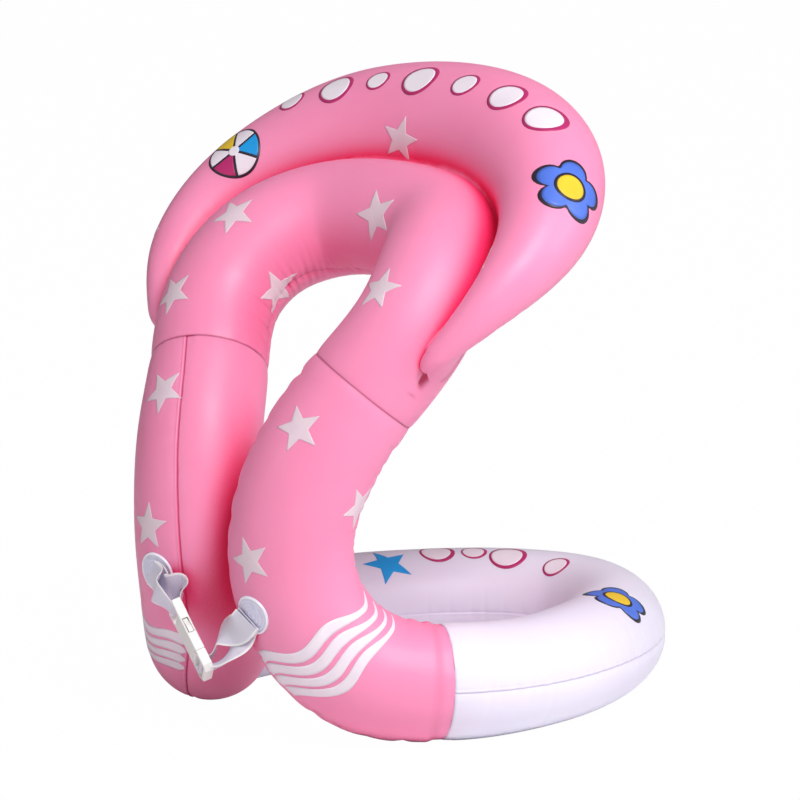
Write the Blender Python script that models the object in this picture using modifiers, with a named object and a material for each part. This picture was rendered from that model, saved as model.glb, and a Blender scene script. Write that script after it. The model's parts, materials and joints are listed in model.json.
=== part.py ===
"""Inflatable swim ring with a front opening, a neck arch and a crescent head collar.

One long tube lies on the floor as a U around the body, runs up at the front as two legs and
closes over the neck as a leaning arch. A crescent collar hugs the outside of the arch. Two
webbing loops and a side-release buckle close the front. Each air chamber has a push-in valve.

Metres, +Z up, -Y is the front. The origin is under the middle of the whole ring, on the floor.
"""
import math

import bmesh
import bpy
import numpy as np
from mathutils import Matrix, Vector

MM = 0.001

# Body ring: a U on the floor, egg-shaped in plan
RING_HALF_WIDTH = 146.5 * MM
RING_WIDEST_Y = 88 * MM
RING_BACK_Y = 298.5 * MM
RING_ROUNDNESS = 1.85
RING_TUBE_RADIUS = 45 * MM
FLOOR_FLAT = 1.5 * MM

# Colour seam, where the body ring's film meets the front tubes' film
SEAM_HALF_WIDTH = 129 * MM
SEAM_Y = 9.5 * MM
SEAM_TUBE_RADIUS = 47.5 * MM

# Front tubes: heel on the floor, shin, chest and the cross weld under the neck arch
HEEL_HALF_WIDTH = 92 * MM
HEEL_Y = -34 * MM
HEEL_HEIGHT = 55 * MM
SHIN_HALF_WIDTH = 61 * MM
SHIN_Y = -70 * MM
SHIN_HEIGHT = 101 * MM
CHEST_HALF_WIDTH = 54 * MM
CHEST_Y = -82 * MM
CHEST_HEIGHT = 161 * MM
COLLARBONE_HALF_WIDTH = 66 * MM
COLLARBONE_Y = -68 * MM
COLLARBONE_HEIGHT = 224 * MM
WELD_HALF_WIDTH = 88 * MM
WELD_Y = -36 * MM
WELD_HEIGHT = 280 * MM
LEG_TUBE_RADIUS = 50 * MM
WELD_TUBE_RADIUS = 48 * MM

# Neck arch, leaning back from the cross welds; a setback and a drop are from its top
ARCH_TOP_Y = 88 * MM
ARCH_TOP_HEIGHT = 394 * MM
ARCH_CROWN_HALF_WIDTH = 65 * MM
ARCH_CROWN_SETBACK = 11 * MM
ARCH_CROWN_DROP = 6 * MM
ARCH_SHOULDER_HALF_WIDTH = 96 * MM
ARCH_SHOULDER_SETBACK = 48 * MM
ARCH_SHOULDER_DROP = 24 * MM
ARCH_SIDE_HALF_WIDTH = 108 * MM
ARCH_SIDE_SETBACK = 88 * MM
ARCH_SIDE_DROP = 63 * MM
ARCH_TUBE_RADIUS = 47 * MM

# Head collar: a crescent along the outside of the arch, thick at the top, thin at the tails.
# An offset is outward, back and up from the loop's own station, and a radius is the collar's
COLLAR_TOP_OFFSET = (0, 75 * MM, 64 * MM)
COLLAR_TOP_RADIUS = 56 * MM
COLLAR_CROWN_OFFSET = (12 * MM, 75 * MM, 63 * MM)
COLLAR_CROWN_RADIUS = 54 * MM
COLLAR_SHOULDER_OFFSET = (46 * MM, 77 * MM, 59.5 * MM)
COLLAR_SHOULDER_RADIUS = 45 * MM
COLLAR_SIDE_OFFSET = (70.5 * MM, 66 * MM, 64 * MM)
COLLAR_SIDE_RADIUS = 33.5 * MM
COLLAR_FLANK_OFFSET = (73 * MM, 11 * MM, 22.5 * MM)
COLLAR_FLANK_RADIUS = 20 * MM
COLLAR_TAIL_OFFSET = (62 * MM, 3 * MM, 23 * MM)
COLLAR_TAIL_RADIUS = 8 * MM
COLLAR_SEAT_DEPTH = 3 * MM
COLLAR_SEAT_AT_SIDE = (0.69, 0.5, 0.0)
COLLAR_SEAT_AT_TOP = (0.0, 0.5, 0.65)

# How the tubes are drawn
WELD_PINCH = 0.965
WELD_PINCH_LENGTH = 9 * MM
TUBE_STEP = 15 * MM
TUBE_SIDES = 20
JOINT_GAP = 0.3 * MM
END_LEAD = 0.8 * MM

# Inflation valves
FLANGE_RADIUS = 13 * MM
FLANGE_THICKNESS = 1.2 * MM
FLANGE_COLLAR_RADIUS = 8.8 * MM
FLANGE_COLLAR_HEIGHT = 4.0 * MM
STEM_RADIUS = 6.0 * MM
STEM_BORE = 4.0 * MM
STEM_RIM_RADIUS = 7.6 * MM
STEM_RIM_THICKNESS = 1.5 * MM
STEM_STOP_THICKNESS = 1.5 * MM
STEM_STOP_ROOM = 2.5 * MM
STEM_TRAVEL = 12 * MM
STEM_DEPTH = STEM_TRAVEL + STEM_STOP_ROOM + STEM_STOP_THICKNESS
SHANK_RADIUS = 3.6 * MM
SHANK_TIP_RADIUS = 2.9 * MM
SHANK_LENGTH = 4.2 * MM
CAP_THICKNESS = 1.8 * MM
TETHER_WIDTH = 4.4 * MM
TETHER_REACH = 9.0 * MM
PULL_TAB_REACH = 11.5 * MM
FLAP_RADIUS = 5.4 * MM
FLAP_THICKNESS = 0.8 * MM
FLAP_SWING_ROOM = 6 * MM
SEAT_DEPTH = 2.4 * MM
SEAT_SIDES = 28
TAB_EDGE = 0.3 * MM
FLANGE_CHAMFER = 0.8 * MM
RIM_CHAMFER = 0.3 * MM
TURN_STEPS = 20
RING_VALVE_OUTWARD = (-0.5, 0.7, 0.5)
ARCH_VALVE_OUTWARD = (-0.2, 0.8, -0.5)
ARCH_VALVE_PAST_WELD = 30 * MM
COLLAR_VALVE_OUTWARD = (-0.2, 0.9, 0.2)

# Round weld patches that hold the webbing
PATCH_RADIUS = 16.5 * MM
PATCH_THICKNESS = 1.2 * MM
PATCH_HEIGHT_LEFT = 128 * MM
PATCH_HEIGHT_RIGHT = 108 * MM
PATCH_TURN = 4.0
PATCH_SIDES = 32

# Webbing; each heading is the way a strap leaves its patch, turned from the patch's level line
WEBBING_WIDTH = 25 * MM
WEBBING_THICKNESS = 0.9 * MM
WEBBING_STEP = 3.0 * MM
STRAP_HEADING_LEFT = -32
STRAP_HEADING_RIGHT = 224
STRAP_HOLD_ACROSS = 0.7 * PATCH_RADIUS
STRAP_HOLD_DOWN = 0.4 * PATCH_RADIUS

# Side-release buckle
BUCKLE_WIDTH = 32 * MM
BUCKLE_THICKNESS = 8 * MM
SOCKET_LENGTH = 46 * MM
PLUG_BASE_LENGTH = 18 * MM
BUCKLE_CENTRE = (-4.8 * MM, -134.5 * MM, 80.9 * MM)
BUCKLE_TILT = 38.0
BUCKLE_ROLL = 32.0
CAVITY_WIDTH = 26 * MM
CAVITY_HEIGHT = 5.0 * MM
CAVITY_DEPTH = 32 * MM
WAIST_DEPTH = 1.2 * MM
WINDOW_BOTTOM = 16 * MM
WINDOW_LENGTH = 13 * MM
BAR_DIAMETER = 4.0 * MM
BAR_SIDES = 12
SLOT_WIDTH = 27 * MM
STRAP_SLOT = 7 * MM
PLUG_END_RAIL = 3.2 * MM
PLUG_END_CHAMFER = 5 * MM
PLUG_BAR_WIDTH = 3.6 * MM
PLUG_BAR_DEPTH = 2.8 * MM
PLUG_SLOT = 4.6 * MM
TONGUE_WIDTH = 6 * MM
TONGUE_LENGTH = 22 * MM
PRONG_THICKNESS = 2.8 * MM
PRONG_HEAD_REACH = 3.2 * MM
PRONG_SHOULDER = 4 * MM
PRONG_NOSE = 5 * MM
PRONG_RELIEF = 0.8 * MM
PRONG_EDGE = 0.4 * MM
MOUTH_SHOULDER = 0.55
MOUTH_RISE = 0.42
MOUTH_CREST = 0.2
MOUTH_DIP = 0.4
MOUTH_PEAK = 3.0 * MM
MOUTH_GAP = 0.4 * MM
BUCKLE_EDGE = 1.0 * MM
TONGUE_EDGE = 0.8 * MM

# Each tube of the loop: where it starts, where it ends and its film
LOOP_TUBES = {
    "body_ring": ("left_seam", "right_seam", "white_film"),
    "front_tube_right": ("right_seam", "right_weld", "pink_film"),
    "front_tube_left": ("left_weld", "left_seam", "pink_film"),
    "neck_arch": ("right_weld", "far_left_weld", "pink_film"),
}

COLOURS = {
    "pink_film": ((0.93, 0.30, 0.50), 0.38),
    "white_film": ((0.86, 0.80, 0.90), 0.38),
    "clear_vinyl": ((0.80, 0.80, 0.88), 0.30),
    "webbing": ((0.78, 0.76, 0.88), 0.45),
    "buckle": ((0.85, 0.84, 0.80), 0.35),
    "valve_vinyl": ((0.82, 0.82, 0.86), 0.32),
}


def clear_scene():
    for item in list(bpy.data.objects):
        bpy.data.objects.remove(item, do_unlink=True)


def make_collection(name):
    group = bpy.data.collections.new(name)
    bpy.context.scene.collection.children.link(group)
    return group


def material(name):
    colour, roughness = COLOURS[name]
    made = bpy.data.materials.get(name) or bpy.data.materials.new(name)
    made.use_nodes = True
    shader = made.node_tree.nodes["Principled BSDF"]
    shader.inputs["Base Color"].default_value = (*colour, 1.0)
    shader.inputs["Roughness"].default_value = roughness
    shader.inputs["Metallic"].default_value = 0.0
    return made


def add_piece(name, mesh, finish):
    piece = bpy.data.objects.new(name, mesh)
    PARTS.objects.link(piece)
    piece.parent = ROOT
    mesh.materials.clear()
    mesh.materials.append(material(finish))
    return piece


def add_cutter(name, mesh):
    cutter = bpy.data.objects.new(name, mesh)
    CUTTERS.objects.link(cutter)
    cutter.parent = ROOT
    cutter.hide_render = True
    cutter.display_type = "WIRE"
    return cutter


def cut(piece, cutter, operation="DIFFERENCE"):
    step = piece.modifiers.new(cutter.name, "BOOLEAN")
    step.operation = operation
    step.object = cutter
    step.solver = "EXACT"


def smooth(mesh, degrees=35):
    mesh.shade_smooth()
    mesh.set_sharp_from_angle(angle=math.radians(degrees))


def natural_spline(knots, values, places):
    """Cubic spline through values at knots, with free ends, read at places."""
    knots, values = np.asarray(knots, float), np.asarray(values, float)
    count = len(knots)
    gaps = np.diff(knots)
    matrix = np.eye(count)
    right = np.zeros_like(values)
    for i in range(1, count - 1):
        matrix[i, i - 1:i + 2] = gaps[i - 1], 2 * (gaps[i - 1] + gaps[i]), gaps[i]
        right[i] = 6 * ((values[i + 1] - values[i]) / gaps[i] - (values[i] - values[i - 1]) / gaps[i - 1])
    bends = np.linalg.solve(matrix, right)
    k = np.clip(np.searchsorted(knots, places) - 1, 0, count - 2)
    h = gaps[k][:, None]
    a = (knots[k + 1] - places)[:, None] / h
    b = 1 - a
    curve = a * values[k] + b * values[k + 1]
    return curve + ((a ** 3 - a) * bends[k] + (b ** 3 - b) * bends[k + 1]) * h ** 2 / 6


class Route:
    """A smooth line through stations (x, y, z, radius), measured along its chords."""

    def __init__(self, stations):
        self.stations = np.array(stations, float)
        chords = np.linalg.norm(np.diff(self.stations[:, :3], axis=0), axis=1)
        self.marks = np.concatenate([[0], np.cumsum(chords)])

    def at(self, place):
        return natural_spline(self.marks, self.stations, np.atleast_1d(place))[0]

    def tangent(self, place, reach=0.5 * MM):
        ahead, behind = self.at(place + reach)[:3], self.at(place - reach)[:3]
        return Vector(ahead - behind).normalized()


def mirrored(stations):
    """Stations from one end to the mid-plane, followed by their mirror images."""
    return stations + [(-x, y, z, r) for x, y, z, r in reversed(stations[:-1])]


def ring_stations():
    """The U from the mid-plane at the back to its widest place, as a blunt oval."""
    stations = []
    for turn in (0, 22, 45, 68, 90):
        s, c = math.sin(math.radians(turn)), max(math.cos(math.radians(turn)), 0.0)
        x = RING_HALF_WIDTH * s ** (2 / RING_ROUNDNESS)
        y = RING_WIDEST_Y + (RING_BACK_Y - RING_WIDEST_Y) * c ** (2 / RING_ROUNDNESS)
        stations.append((x, y, RING_TUBE_RADIUS - FLOOR_FLAT, RING_TUBE_RADIUS))
    return stations


def arch_stations():
    """The right half of the neck arch, from its side to its top."""
    half_arch = (
        (ARCH_SIDE_HALF_WIDTH, ARCH_SIDE_SETBACK, ARCH_SIDE_DROP),
        (ARCH_SHOULDER_HALF_WIDTH, ARCH_SHOULDER_SETBACK, ARCH_SHOULDER_DROP),
        (ARCH_CROWN_HALF_WIDTH, ARCH_CROWN_SETBACK, ARCH_CROWN_DROP),
        (0.0, 0.0, 0.0),
    )
    return [(x, ARCH_TOP_Y - back, ARCH_TOP_HEIGHT - drop, ARCH_TUBE_RADIUS) for x, back, drop in half_arch]


def loop_stations():
    """One half of the loop, from the back of the ring to the top of the neck arch."""
    return ring_stations() + [
        (SEAM_HALF_WIDTH, SEAM_Y, SEAM_TUBE_RADIUS - FLOOR_FLAT, SEAM_TUBE_RADIUS),
        (HEEL_HALF_WIDTH, HEEL_Y, HEEL_HEIGHT, LEG_TUBE_RADIUS),
        (SHIN_HALF_WIDTH, SHIN_Y, SHIN_HEIGHT, LEG_TUBE_RADIUS),
        (CHEST_HALF_WIDTH, CHEST_Y, CHEST_HEIGHT, LEG_TUBE_RADIUS),
        (COLLARBONE_HALF_WIDTH, COLLARBONE_Y, COLLARBONE_HEIGHT, LEG_TUBE_RADIUS),
        (WELD_HALF_WIDTH, WELD_Y, WELD_HEIGHT, WELD_TUBE_RADIUS),
    ] + arch_stations()


def whole_loop():
    """The closed loop, down the left, round the back, up the right and over the neck again.

    Stations are repeated past both ends, so that every weld has the same bend on both its sides.
    """
    half = loop_stations()
    left = [(-x, y, z, r) for x, y, z, r in reversed(half)]
    once = left + half[1:-1]
    lap = 6
    route = Route(once[-lap:] + once + once[:lap + 5])
    weld, seam, back = 4, 9, 14
    mark = {
        "left_weld": route.marks[lap + weld],
        "left_chest": route.marks[lap + weld + 2],
        "left_heel": route.marks[lap + seam - 1],
        "left_seam": route.marks[lap + seam],
        "ring_back_left": route.marks[lap + back - 2],
        "right_seam": route.marks[lap + 2 * back - seam],
        "right_heel": route.marks[lap + 2 * back - seam + 1],
        "right_chest": route.marks[lap + 2 * back - weld - 2],
        "right_weld": route.marks[lap + 2 * back - weld],
        "far_left_weld": route.marks[lap + 2 * back + weld],
    }
    return route, mark


def tube_points(route, start, end, grow):
    """Points (x, y, z, radius) along the tube, the outer two at each end in line with the route."""
    count = max(2, round((end - start) / TUBE_STEP))
    inner = [start + WELD_PINCH_LENGTH * 0.45, end - WELD_PINCH_LENGTH * 0.45]
    places = sorted(inner + list(np.linspace(start, end, count + 1)))
    points = []
    for place in places:
        x, y, z, radius = route.at(place)
        squeeze = 1.0
        gap = min(place - start, end - place)
        if gap < WELD_PINCH_LENGTH:
            squeeze = WELD_PINCH + (1 - WELD_PINCH) * math.sqrt(gap / WELD_PINCH_LENGTH)
        points.append((x, y, z, radius * squeeze + grow))
    for seam, index, way in ((start - JOINT_GAP / 2, 0, 1), (end + JOINT_GAP / 2, -1, -1)):
        straight = Vector(points[index][:3]) + route.tangent(seam) * way * END_LEAD
        points.insert(1 if way > 0 else -1, (*straight, points[index][3]))
    return points


def tube_mesh(route, start, end, grow=0.0):
    """A closed tube along the route, its end faces square to the route."""
    points = tube_points(route, start, end, grow)
    shape = bpy.data.curves.new("tube", "CURVE")
    shape.dimensions = "3D"
    shape.bevel_depth = LEG_TUBE_RADIUS
    shape.bevel_resolution = TUBE_SIDES // 2 - 2
    shape.use_fill_caps = True
    shape.twist_mode = "MINIMUM"
    line = shape.splines.new("POLY")
    line.points.add(len(points) - 1)
    for point, (x, y, z, radius) in zip(line.points, points):
        point.co = (x, y, z, 1.0)
        point.radius = radius / LEG_TUBE_RADIUS
    holder = bpy.data.objects.new("tube", shape)
    bpy.context.scene.collection.objects.link(holder)
    bpy.context.view_layer.update()
    mesh = bpy.data.meshes.new_from_object(holder.evaluated_get(bpy.context.evaluated_depsgraph_get()))
    bpy.data.objects.remove(holder, do_unlink=True)
    work = bmesh.new()
    work.from_mesh(mesh)
    bmesh.ops.remove_doubles(work, verts=work.verts, dist=0.02 * MM)
    bmesh.ops.recalc_face_normals(work, faces=work.faces)
    work.to_mesh(mesh)
    work.free()
    smooth(mesh)
    return mesh


def frame_matrix(origin, axis, side):
    """Local Z along axis and local X towards side, at origin."""
    z = Vector(axis).normalized()
    x = Vector(side)
    x = (x - z * x.dot(z)).normalized()
    y = z.cross(x)
    matrix = Matrix((x, y, z)).transposed().to_4x4()
    matrix.translation = Vector(origin)
    return matrix


def box_mesh(low, high, edge=0.0):
    work = bmesh.new()
    bmesh.ops.create_cube(work, size=1.0)
    size = [h - l for l, h in zip(low, high)]
    middle = [(h + l) / 2 for l, h in zip(low, high)]
    bmesh.ops.scale(work, vec=size, verts=work.verts)
    bmesh.ops.translate(work, vec=middle, verts=work.verts)
    if edge:
        bmesh.ops.bevel(work, geom=work.edges, offset=edge, segments=2, profile=0.5, affect="EDGES")
    mesh = bpy.data.meshes.new("box")
    work.to_mesh(mesh)
    work.free()
    return mesh


def cylinder_mesh(radius, bottom, top, sides=TURN_STEPS, tip=None):
    work = bmesh.new()
    bmesh.ops.create_cone(work, cap_ends=True, segments=sides, radius1=radius,
                          radius2=radius if tip is None else tip, depth=top - bottom)
    bmesh.ops.translate(work, vec=(0, 0, (top + bottom) / 2), verts=work.verts)
    mesh = bpy.data.meshes.new("cylinder")
    work.to_mesh(mesh)
    work.free()
    smooth(mesh)
    return mesh


def turned(name, profile, finish, closed):
    """A turned piece: the profile runs down its outer side and is spun about local Z."""
    mesh = bpy.data.meshes.new(name)
    points = [(x, 0.0, z) for x, z in profile]
    edges = [(i, i + 1) for i in range(len(points) - 1)]
    if closed:
        edges.append((len(points) - 1, 0))
    mesh.from_pydata(points, edges, [])
    piece = add_piece(name, mesh, finish)
    spin = piece.modifiers.new("turn", "SCREW")
    spin.axis = "Z"
    spin.steps = TURN_STEPS
    spin.render_steps = TURN_STEPS
    spin.use_merge_vertices = True
    spin.merge_threshold = 0.00005
    spin.use_normal_calculate = False
    return piece


def outline_mesh(points, thickness, edge):
    """A plate with this outline in local XZ and its thickness along Y, its rims rounded."""
    shape = bpy.data.curves.new("outline", "CURVE")
    shape.dimensions = "2D"
    shape.fill_mode = "BOTH"
    shape.extrude = thickness / 2
    line = shape.splines.new("POLY")
    line.points.add(len(points) - 1)
    for point, (x, z) in zip(line.points, points):
        point.co = (x, z, 0.0, 1.0)
    line.use_cyclic_u = True
    holder = bpy.data.objects.new("outline", shape)
    bpy.context.scene.collection.objects.link(holder)
    bpy.context.view_layer.update()
    mesh = bpy.data.meshes.new_from_object(holder.evaluated_get(bpy.context.evaluated_depsgraph_get()))
    bpy.data.objects.remove(holder, do_unlink=True)
    work = bmesh.new()
    work.from_mesh(mesh)
    bmesh.ops.remove_doubles(work, verts=work.verts, dist=0.02 * MM)
    bmesh.ops.dissolve_limit(work, angle_limit=math.radians(1), verts=work.verts, edges=work.edges)
    bmesh.ops.rotate(work, verts=work.verts, cent=(0, 0, 0), matrix=Matrix.Rotation(math.pi / 2, 3, "X"))
    rims = [e for e in work.edges if abs(e.verts[0].co.y - e.verts[1].co.y) < 0.01 * MM]
    bmesh.ops.bevel(work, geom=rims, offset=edge, segments=2, profile=0.5, affect="EDGES")
    bmesh.ops.recalc_face_normals(work, faces=work.faces)
    work.to_mesh(mesh)
    work.free()
    smooth(mesh, 40)
    return mesh


def loop_tube(loop, mark, name, grow=0.0):
    """One tube's own stretch of the loop, grown outward by so much."""
    start, end, _ = LOOP_TUBES[name]
    return tube_mesh(loop, mark[start] + JOINT_GAP / 2, mark[end] - JOINT_GAP / 2, grow)


def build_loop_tubes(loop, mark):
    """The body ring, the two front tubes and the neck arch, end to end along the loop."""
    floor = add_cutter("floor_cut", box_mesh((-1, -1, -0.2), (1, 1, 0)))
    pieces = {}
    for name, (_, _, finish) in LOOP_TUBES.items():
        pieces[name] = add_piece(name, loop_tube(loop, mark, name), finish)
        if name != "neck_arch":
            cut(pieces[name], floor)
    return pieces


def collar_stations():
    """The left half of the collar, from its tail to its top."""
    side, shoulder, crown, top = arch_stations()
    weld = (WELD_HALF_WIDTH, WELD_Y, WELD_HEIGHT, WELD_TUBE_RADIUS)
    half = (
        (weld, COLLAR_TAIL_OFFSET, COLLAR_TAIL_RADIUS), (side, COLLAR_FLANK_OFFSET, COLLAR_FLANK_RADIUS),
        (side, COLLAR_SIDE_OFFSET, COLLAR_SIDE_RADIUS),
        (shoulder, COLLAR_SHOULDER_OFFSET, COLLAR_SHOULDER_RADIUS),
        (crown, COLLAR_CROWN_OFFSET, COLLAR_CROWN_RADIUS), (top, COLLAR_TOP_OFFSET, COLLAR_TOP_RADIUS),
    )
    return [(-(x + out), y + back, z + up, radius) for (x, y, z, _), (out, back, up), radius in half]


def collar_seat(loop, mark, centre):
    """Where the collar's section comes to its point: just inside the film of the arch, behind it."""
    around = np.array([loop.at(place) for place in
                       np.arange(mark["right_weld"] - TUBE_STEP, mark["far_left_weld"] + TUBE_STEP, 2 * MM)])
    x, y, z, radius = around[np.linalg.norm(around[:, :3] - centre, axis=1).argmin()]
    share = max(-1.0, min(1.0, centre[0] / ARCH_SHOULDER_HALF_WIDTH))
    outward = Vector(COLLAR_SEAT_AT_SIDE) * abs(share) + Vector(COLLAR_SEAT_AT_TOP) * (1 - abs(share))
    outward.x *= math.copysign(1.0, share)
    return Vector((x, y, z)) + outward.normalized() * (radius - COLLAR_SEAT_DEPTH)


def collar_mesh(crescent, loop, mark):
    """A closed loft of drops: round at the rim, with flat flanks that run to a point on the arch."""
    count = round(crescent.marks[-1] / TUBE_STEP)
    points, faces = [], []
    for place in np.linspace(0, crescent.marks[-1], count + 1):
        x, y, z, radius = crescent.at(place)
        along = crescent.tangent(place)
        to_seat = collar_seat(loop, mark, (x, y, z)) - Vector((x, y, z))
        to_seat -= along * to_seat.dot(along)
        side = along.cross(to_seat).normalized()
        touch = math.acos(min(1.0, radius / to_seat.length))
        for step in range(TUBE_SIDES):
            turn = 2 * math.pi * step / TUBE_SIDES
            off_seat = min(turn, 2 * math.pi - turn)
            reach = radius / math.cos(max(touch - off_seat, 0.0))
            outward = to_seat.normalized() * math.cos(turn) + side * math.sin(turn)
            points.append(Vector((x, y, z)) + outward * reach)
    for low in range(0, count * TUBE_SIDES, TUBE_SIDES):
        for step in range(TUBE_SIDES):
            ahead = (step + 1) % TUBE_SIDES
            faces.append((low + step, low + ahead, low + TUBE_SIDES + ahead, low + TUBE_SIDES + step))
    faces.append(tuple(range(TUBE_SIDES - 1, -1, -1)))
    faces.append(tuple(range(count * TUBE_SIDES, (count + 1) * TUBE_SIDES)))
    mesh = bpy.data.meshes.new("collar")
    mesh.from_pydata(points, [], faces)
    work = bmesh.new()
    work.from_mesh(mesh)
    bmesh.ops.recalc_face_normals(work, faces=work.faces)
    work.to_mesh(mesh)
    work.free()
    smooth(mesh)
    return mesh


def build_collar(loop, mark):
    """The crescent collar, hollowed where it lies against the neck arch, and its crown's mark."""
    half = collar_stations()
    crescent = Route(mirrored(half))
    collar = add_piece("head_collar", collar_mesh(crescent, loop, mark), "pink_film")
    cut(collar, add_cutter("arch_seat", loop_tube(loop, mark, "neck_arch", JOINT_GAP)))
    return crescent, collar, crescent.marks[len(half) - 2]


def valve_frame(route, place, outward):
    """A frame on the tube: local Z points out of the film, local X along the tube."""
    x, y, z, radius = route.at(place)
    along = route.tangent(place)
    out = Vector(outward)
    out = (out - along * out.dot(along)).normalized()
    seat = Vector((x, y, z)) + out * (radius - SEAT_DEPTH)
    return frame_matrix(seat, out, along)


def seat_valve(name, chamber, frame):
    """Flattens the film under the flange and sinks the pocket that the stem slides in."""
    flat = add_cutter(name + "_flat_cut", cylinder_mesh(FLANGE_RADIUS + JOINT_GAP, 0, 20 * MM, SEAT_SIDES))
    pocket_depth = STEM_DEPTH + FLAP_THICKNESS + 2 * JOINT_GAP + FLAP_SWING_ROOM
    pocket = add_cutter(name + "_pocket_cut",
                        cylinder_mesh(STEM_RIM_RADIUS + JOINT_GAP, -pocket_depth, 1 * MM))
    for cutter in (flat, pocket):
        cutter.matrix_basis = frame
        cut(chamber, cutter)


def valve_flange(name, frame):
    bore = STEM_RADIUS + JOINT_GAP
    low, lip = JOINT_GAP, JOINT_GAP + FLANGE_THICKNESS
    profile = [(bore, FLANGE_COLLAR_HEIGHT),
               (FLANGE_COLLAR_RADIUS - FLANGE_CHAMFER, FLANGE_COLLAR_HEIGHT),
               (FLANGE_COLLAR_RADIUS, FLANGE_COLLAR_HEIGHT - FLANGE_CHAMFER),
               (FLANGE_COLLAR_RADIUS + FLANGE_CHAMFER, lip),
               (FLANGE_RADIUS - FLANGE_CHAMFER / 2, lip), (FLANGE_RADIUS, low), (bore, low)]
    piece = turned(name + "_flange", profile, "valve_vinyl", True)
    piece.matrix_basis = frame
    return piece


def valve_stem(name, frame):
    rim_low = FLANGE_COLLAR_HEIGHT + JOINT_GAP
    rim_top = rim_low + STEM_RIM_THICKNESS
    stop_top = -STEM_DEPTH + STEM_STOP_THICKNESS
    profile = [(STEM_BORE, rim_top), (STEM_RIM_RADIUS - RIM_CHAMFER, rim_top),
               (STEM_RIM_RADIUS, rim_top - RIM_CHAMFER), (STEM_RIM_RADIUS, rim_low),
               (STEM_RADIUS, rim_low), (STEM_RADIUS, stop_top), (STEM_RIM_RADIUS, stop_top),
               (STEM_RIM_RADIUS, -STEM_DEPTH), (STEM_BORE, -STEM_DEPTH)]
    piece = turned(name + "_stem", profile, "valve_vinyl", True)
    lug = add_cutter(name + "_lug_join", box_mesh(
        (-TETHER_REACH - 0.4 * MM, -TETHER_WIDTH / 2, rim_low + 0.1 * MM),
        (-STEM_BORE - 1 * MM, TETHER_WIDTH / 2, rim_top - 0.1 * MM)))
    lug.matrix_basis = frame
    cut(piece, lug, "UNION")
    piece.matrix_basis = frame
    return piece, rim_top


def valve_plug(name, frame, rim_top):
    """The cap with its tapered shank, its pull tab and the band that hinges on the stem's lug."""
    low = rim_top + JOINT_GAP
    high = low + CAP_THICKNESS
    piece = add_piece(name + "_plug", cylinder_mesh(STEM_RIM_RADIUS, low, high), "valve_vinyl")
    additions = {
        "shank": cylinder_mesh(SHANK_TIP_RADIUS, low - SHANK_LENGTH, low + 0.5 * MM, tip=SHANK_RADIUS),
        "tether": box_mesh((-TETHER_REACH, -TETHER_WIDTH / 2, low + 0.1 * MM),
                           (-SHANK_RADIUS - 1 * MM, TETHER_WIDTH / 2, high - 0.5 * MM)),
        "tab": box_mesh((SHANK_RADIUS + 1 * MM, -TETHER_WIDTH / 2, low + 0.3 * MM),
                        (PULL_TAB_REACH, TETHER_WIDTH / 2, high - 0.4 * MM), TAB_EDGE),
    }
    for part_name, mesh in additions.items():
        extra = add_cutter(f"{name}_{part_name}_join", mesh)
        extra.matrix_basis = frame
        cut(piece, extra, "UNION")
    piece.matrix_basis = frame
    return piece, low


def valve_flap(name, frame):
    top = -STEM_DEPTH - JOINT_GAP
    mesh = cylinder_mesh(FLAP_RADIUS, top - FLAP_THICKNESS, top)
    piece = add_piece(name + "_flap", mesh, "valve_vinyl")
    piece.matrix_basis = frame
    return piece


def mark_joint(name, frame, place, axis):
    """An empty on a joint's axis, its local Z along the axis."""
    spot = bpy.data.objects.new("joint_" + name, None)
    PARTS.objects.link(spot)
    spot.parent = ROOT
    spot.empty_display_size = 0.01
    turn = frame.to_3x3()
    origin = frame @ Vector(place)
    direction = turn @ Vector(axis)
    side = Vector((1, 0, 0)) if abs(direction.x) < 0.8 else Vector((0, 1, 0))
    spot.matrix_basis = frame_matrix(origin, direction, side)
    return spot


def carry(piece, spot):
    """Hangs a piece on a joint's empty without moving it."""
    place = piece.matrix_basis.copy()
    piece.parent = spot
    piece.matrix_basis = spot.matrix_basis.inverted() @ place


def build_valve(name, chamber, route, place, outward):
    frame = valve_frame(route, place, outward)
    seat_valve(name, chamber, frame)
    valve_flange(name, frame)
    stem, rim_top = valve_stem(name, frame)
    plug, cap_low = valve_plug(name, frame, rim_top)
    flap = valve_flap(name, frame)
    slide = mark_joint(name + "_stem_slide", frame, (0, 0, 0), (0, 0, 1))
    hinge_low = (-TETHER_REACH, 0, cap_low - JOINT_GAP / 2)
    swing = mark_joint(name + "_plug_swing", frame, hinge_low, (0, -1, 0))
    flap_edge = (-FLAP_RADIUS, 0, -STEM_DEPTH - JOINT_GAP / 2)
    droop = mark_joint(name + "_flap_swing", frame, flap_edge, (0, 1, 0))
    carry(stem, slide)
    carry(plug, swing)
    carry(flap, droop)


def patch_frame(loop, low, high, height, side):
    """A frame on the front of a leg, its origin at this height: Z out of the film, X level."""
    best = None
    for place in np.linspace(low, high, 120):
        x, y, z, radius = loop.at(place)
        along = loop.tangent(place)
        out = Vector((-side * math.sin(math.radians(PATCH_TURN)), -1, 0))
        out = (out - along * out.dot(along)).normalized()
        origin = Vector((x, y, z)) + out * radius
        if best is None or abs(origin.z - height) < abs(best[0].z - height):
            best = (origin, out)
    return frame_matrix(*best, (1, 0, 0))


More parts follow.
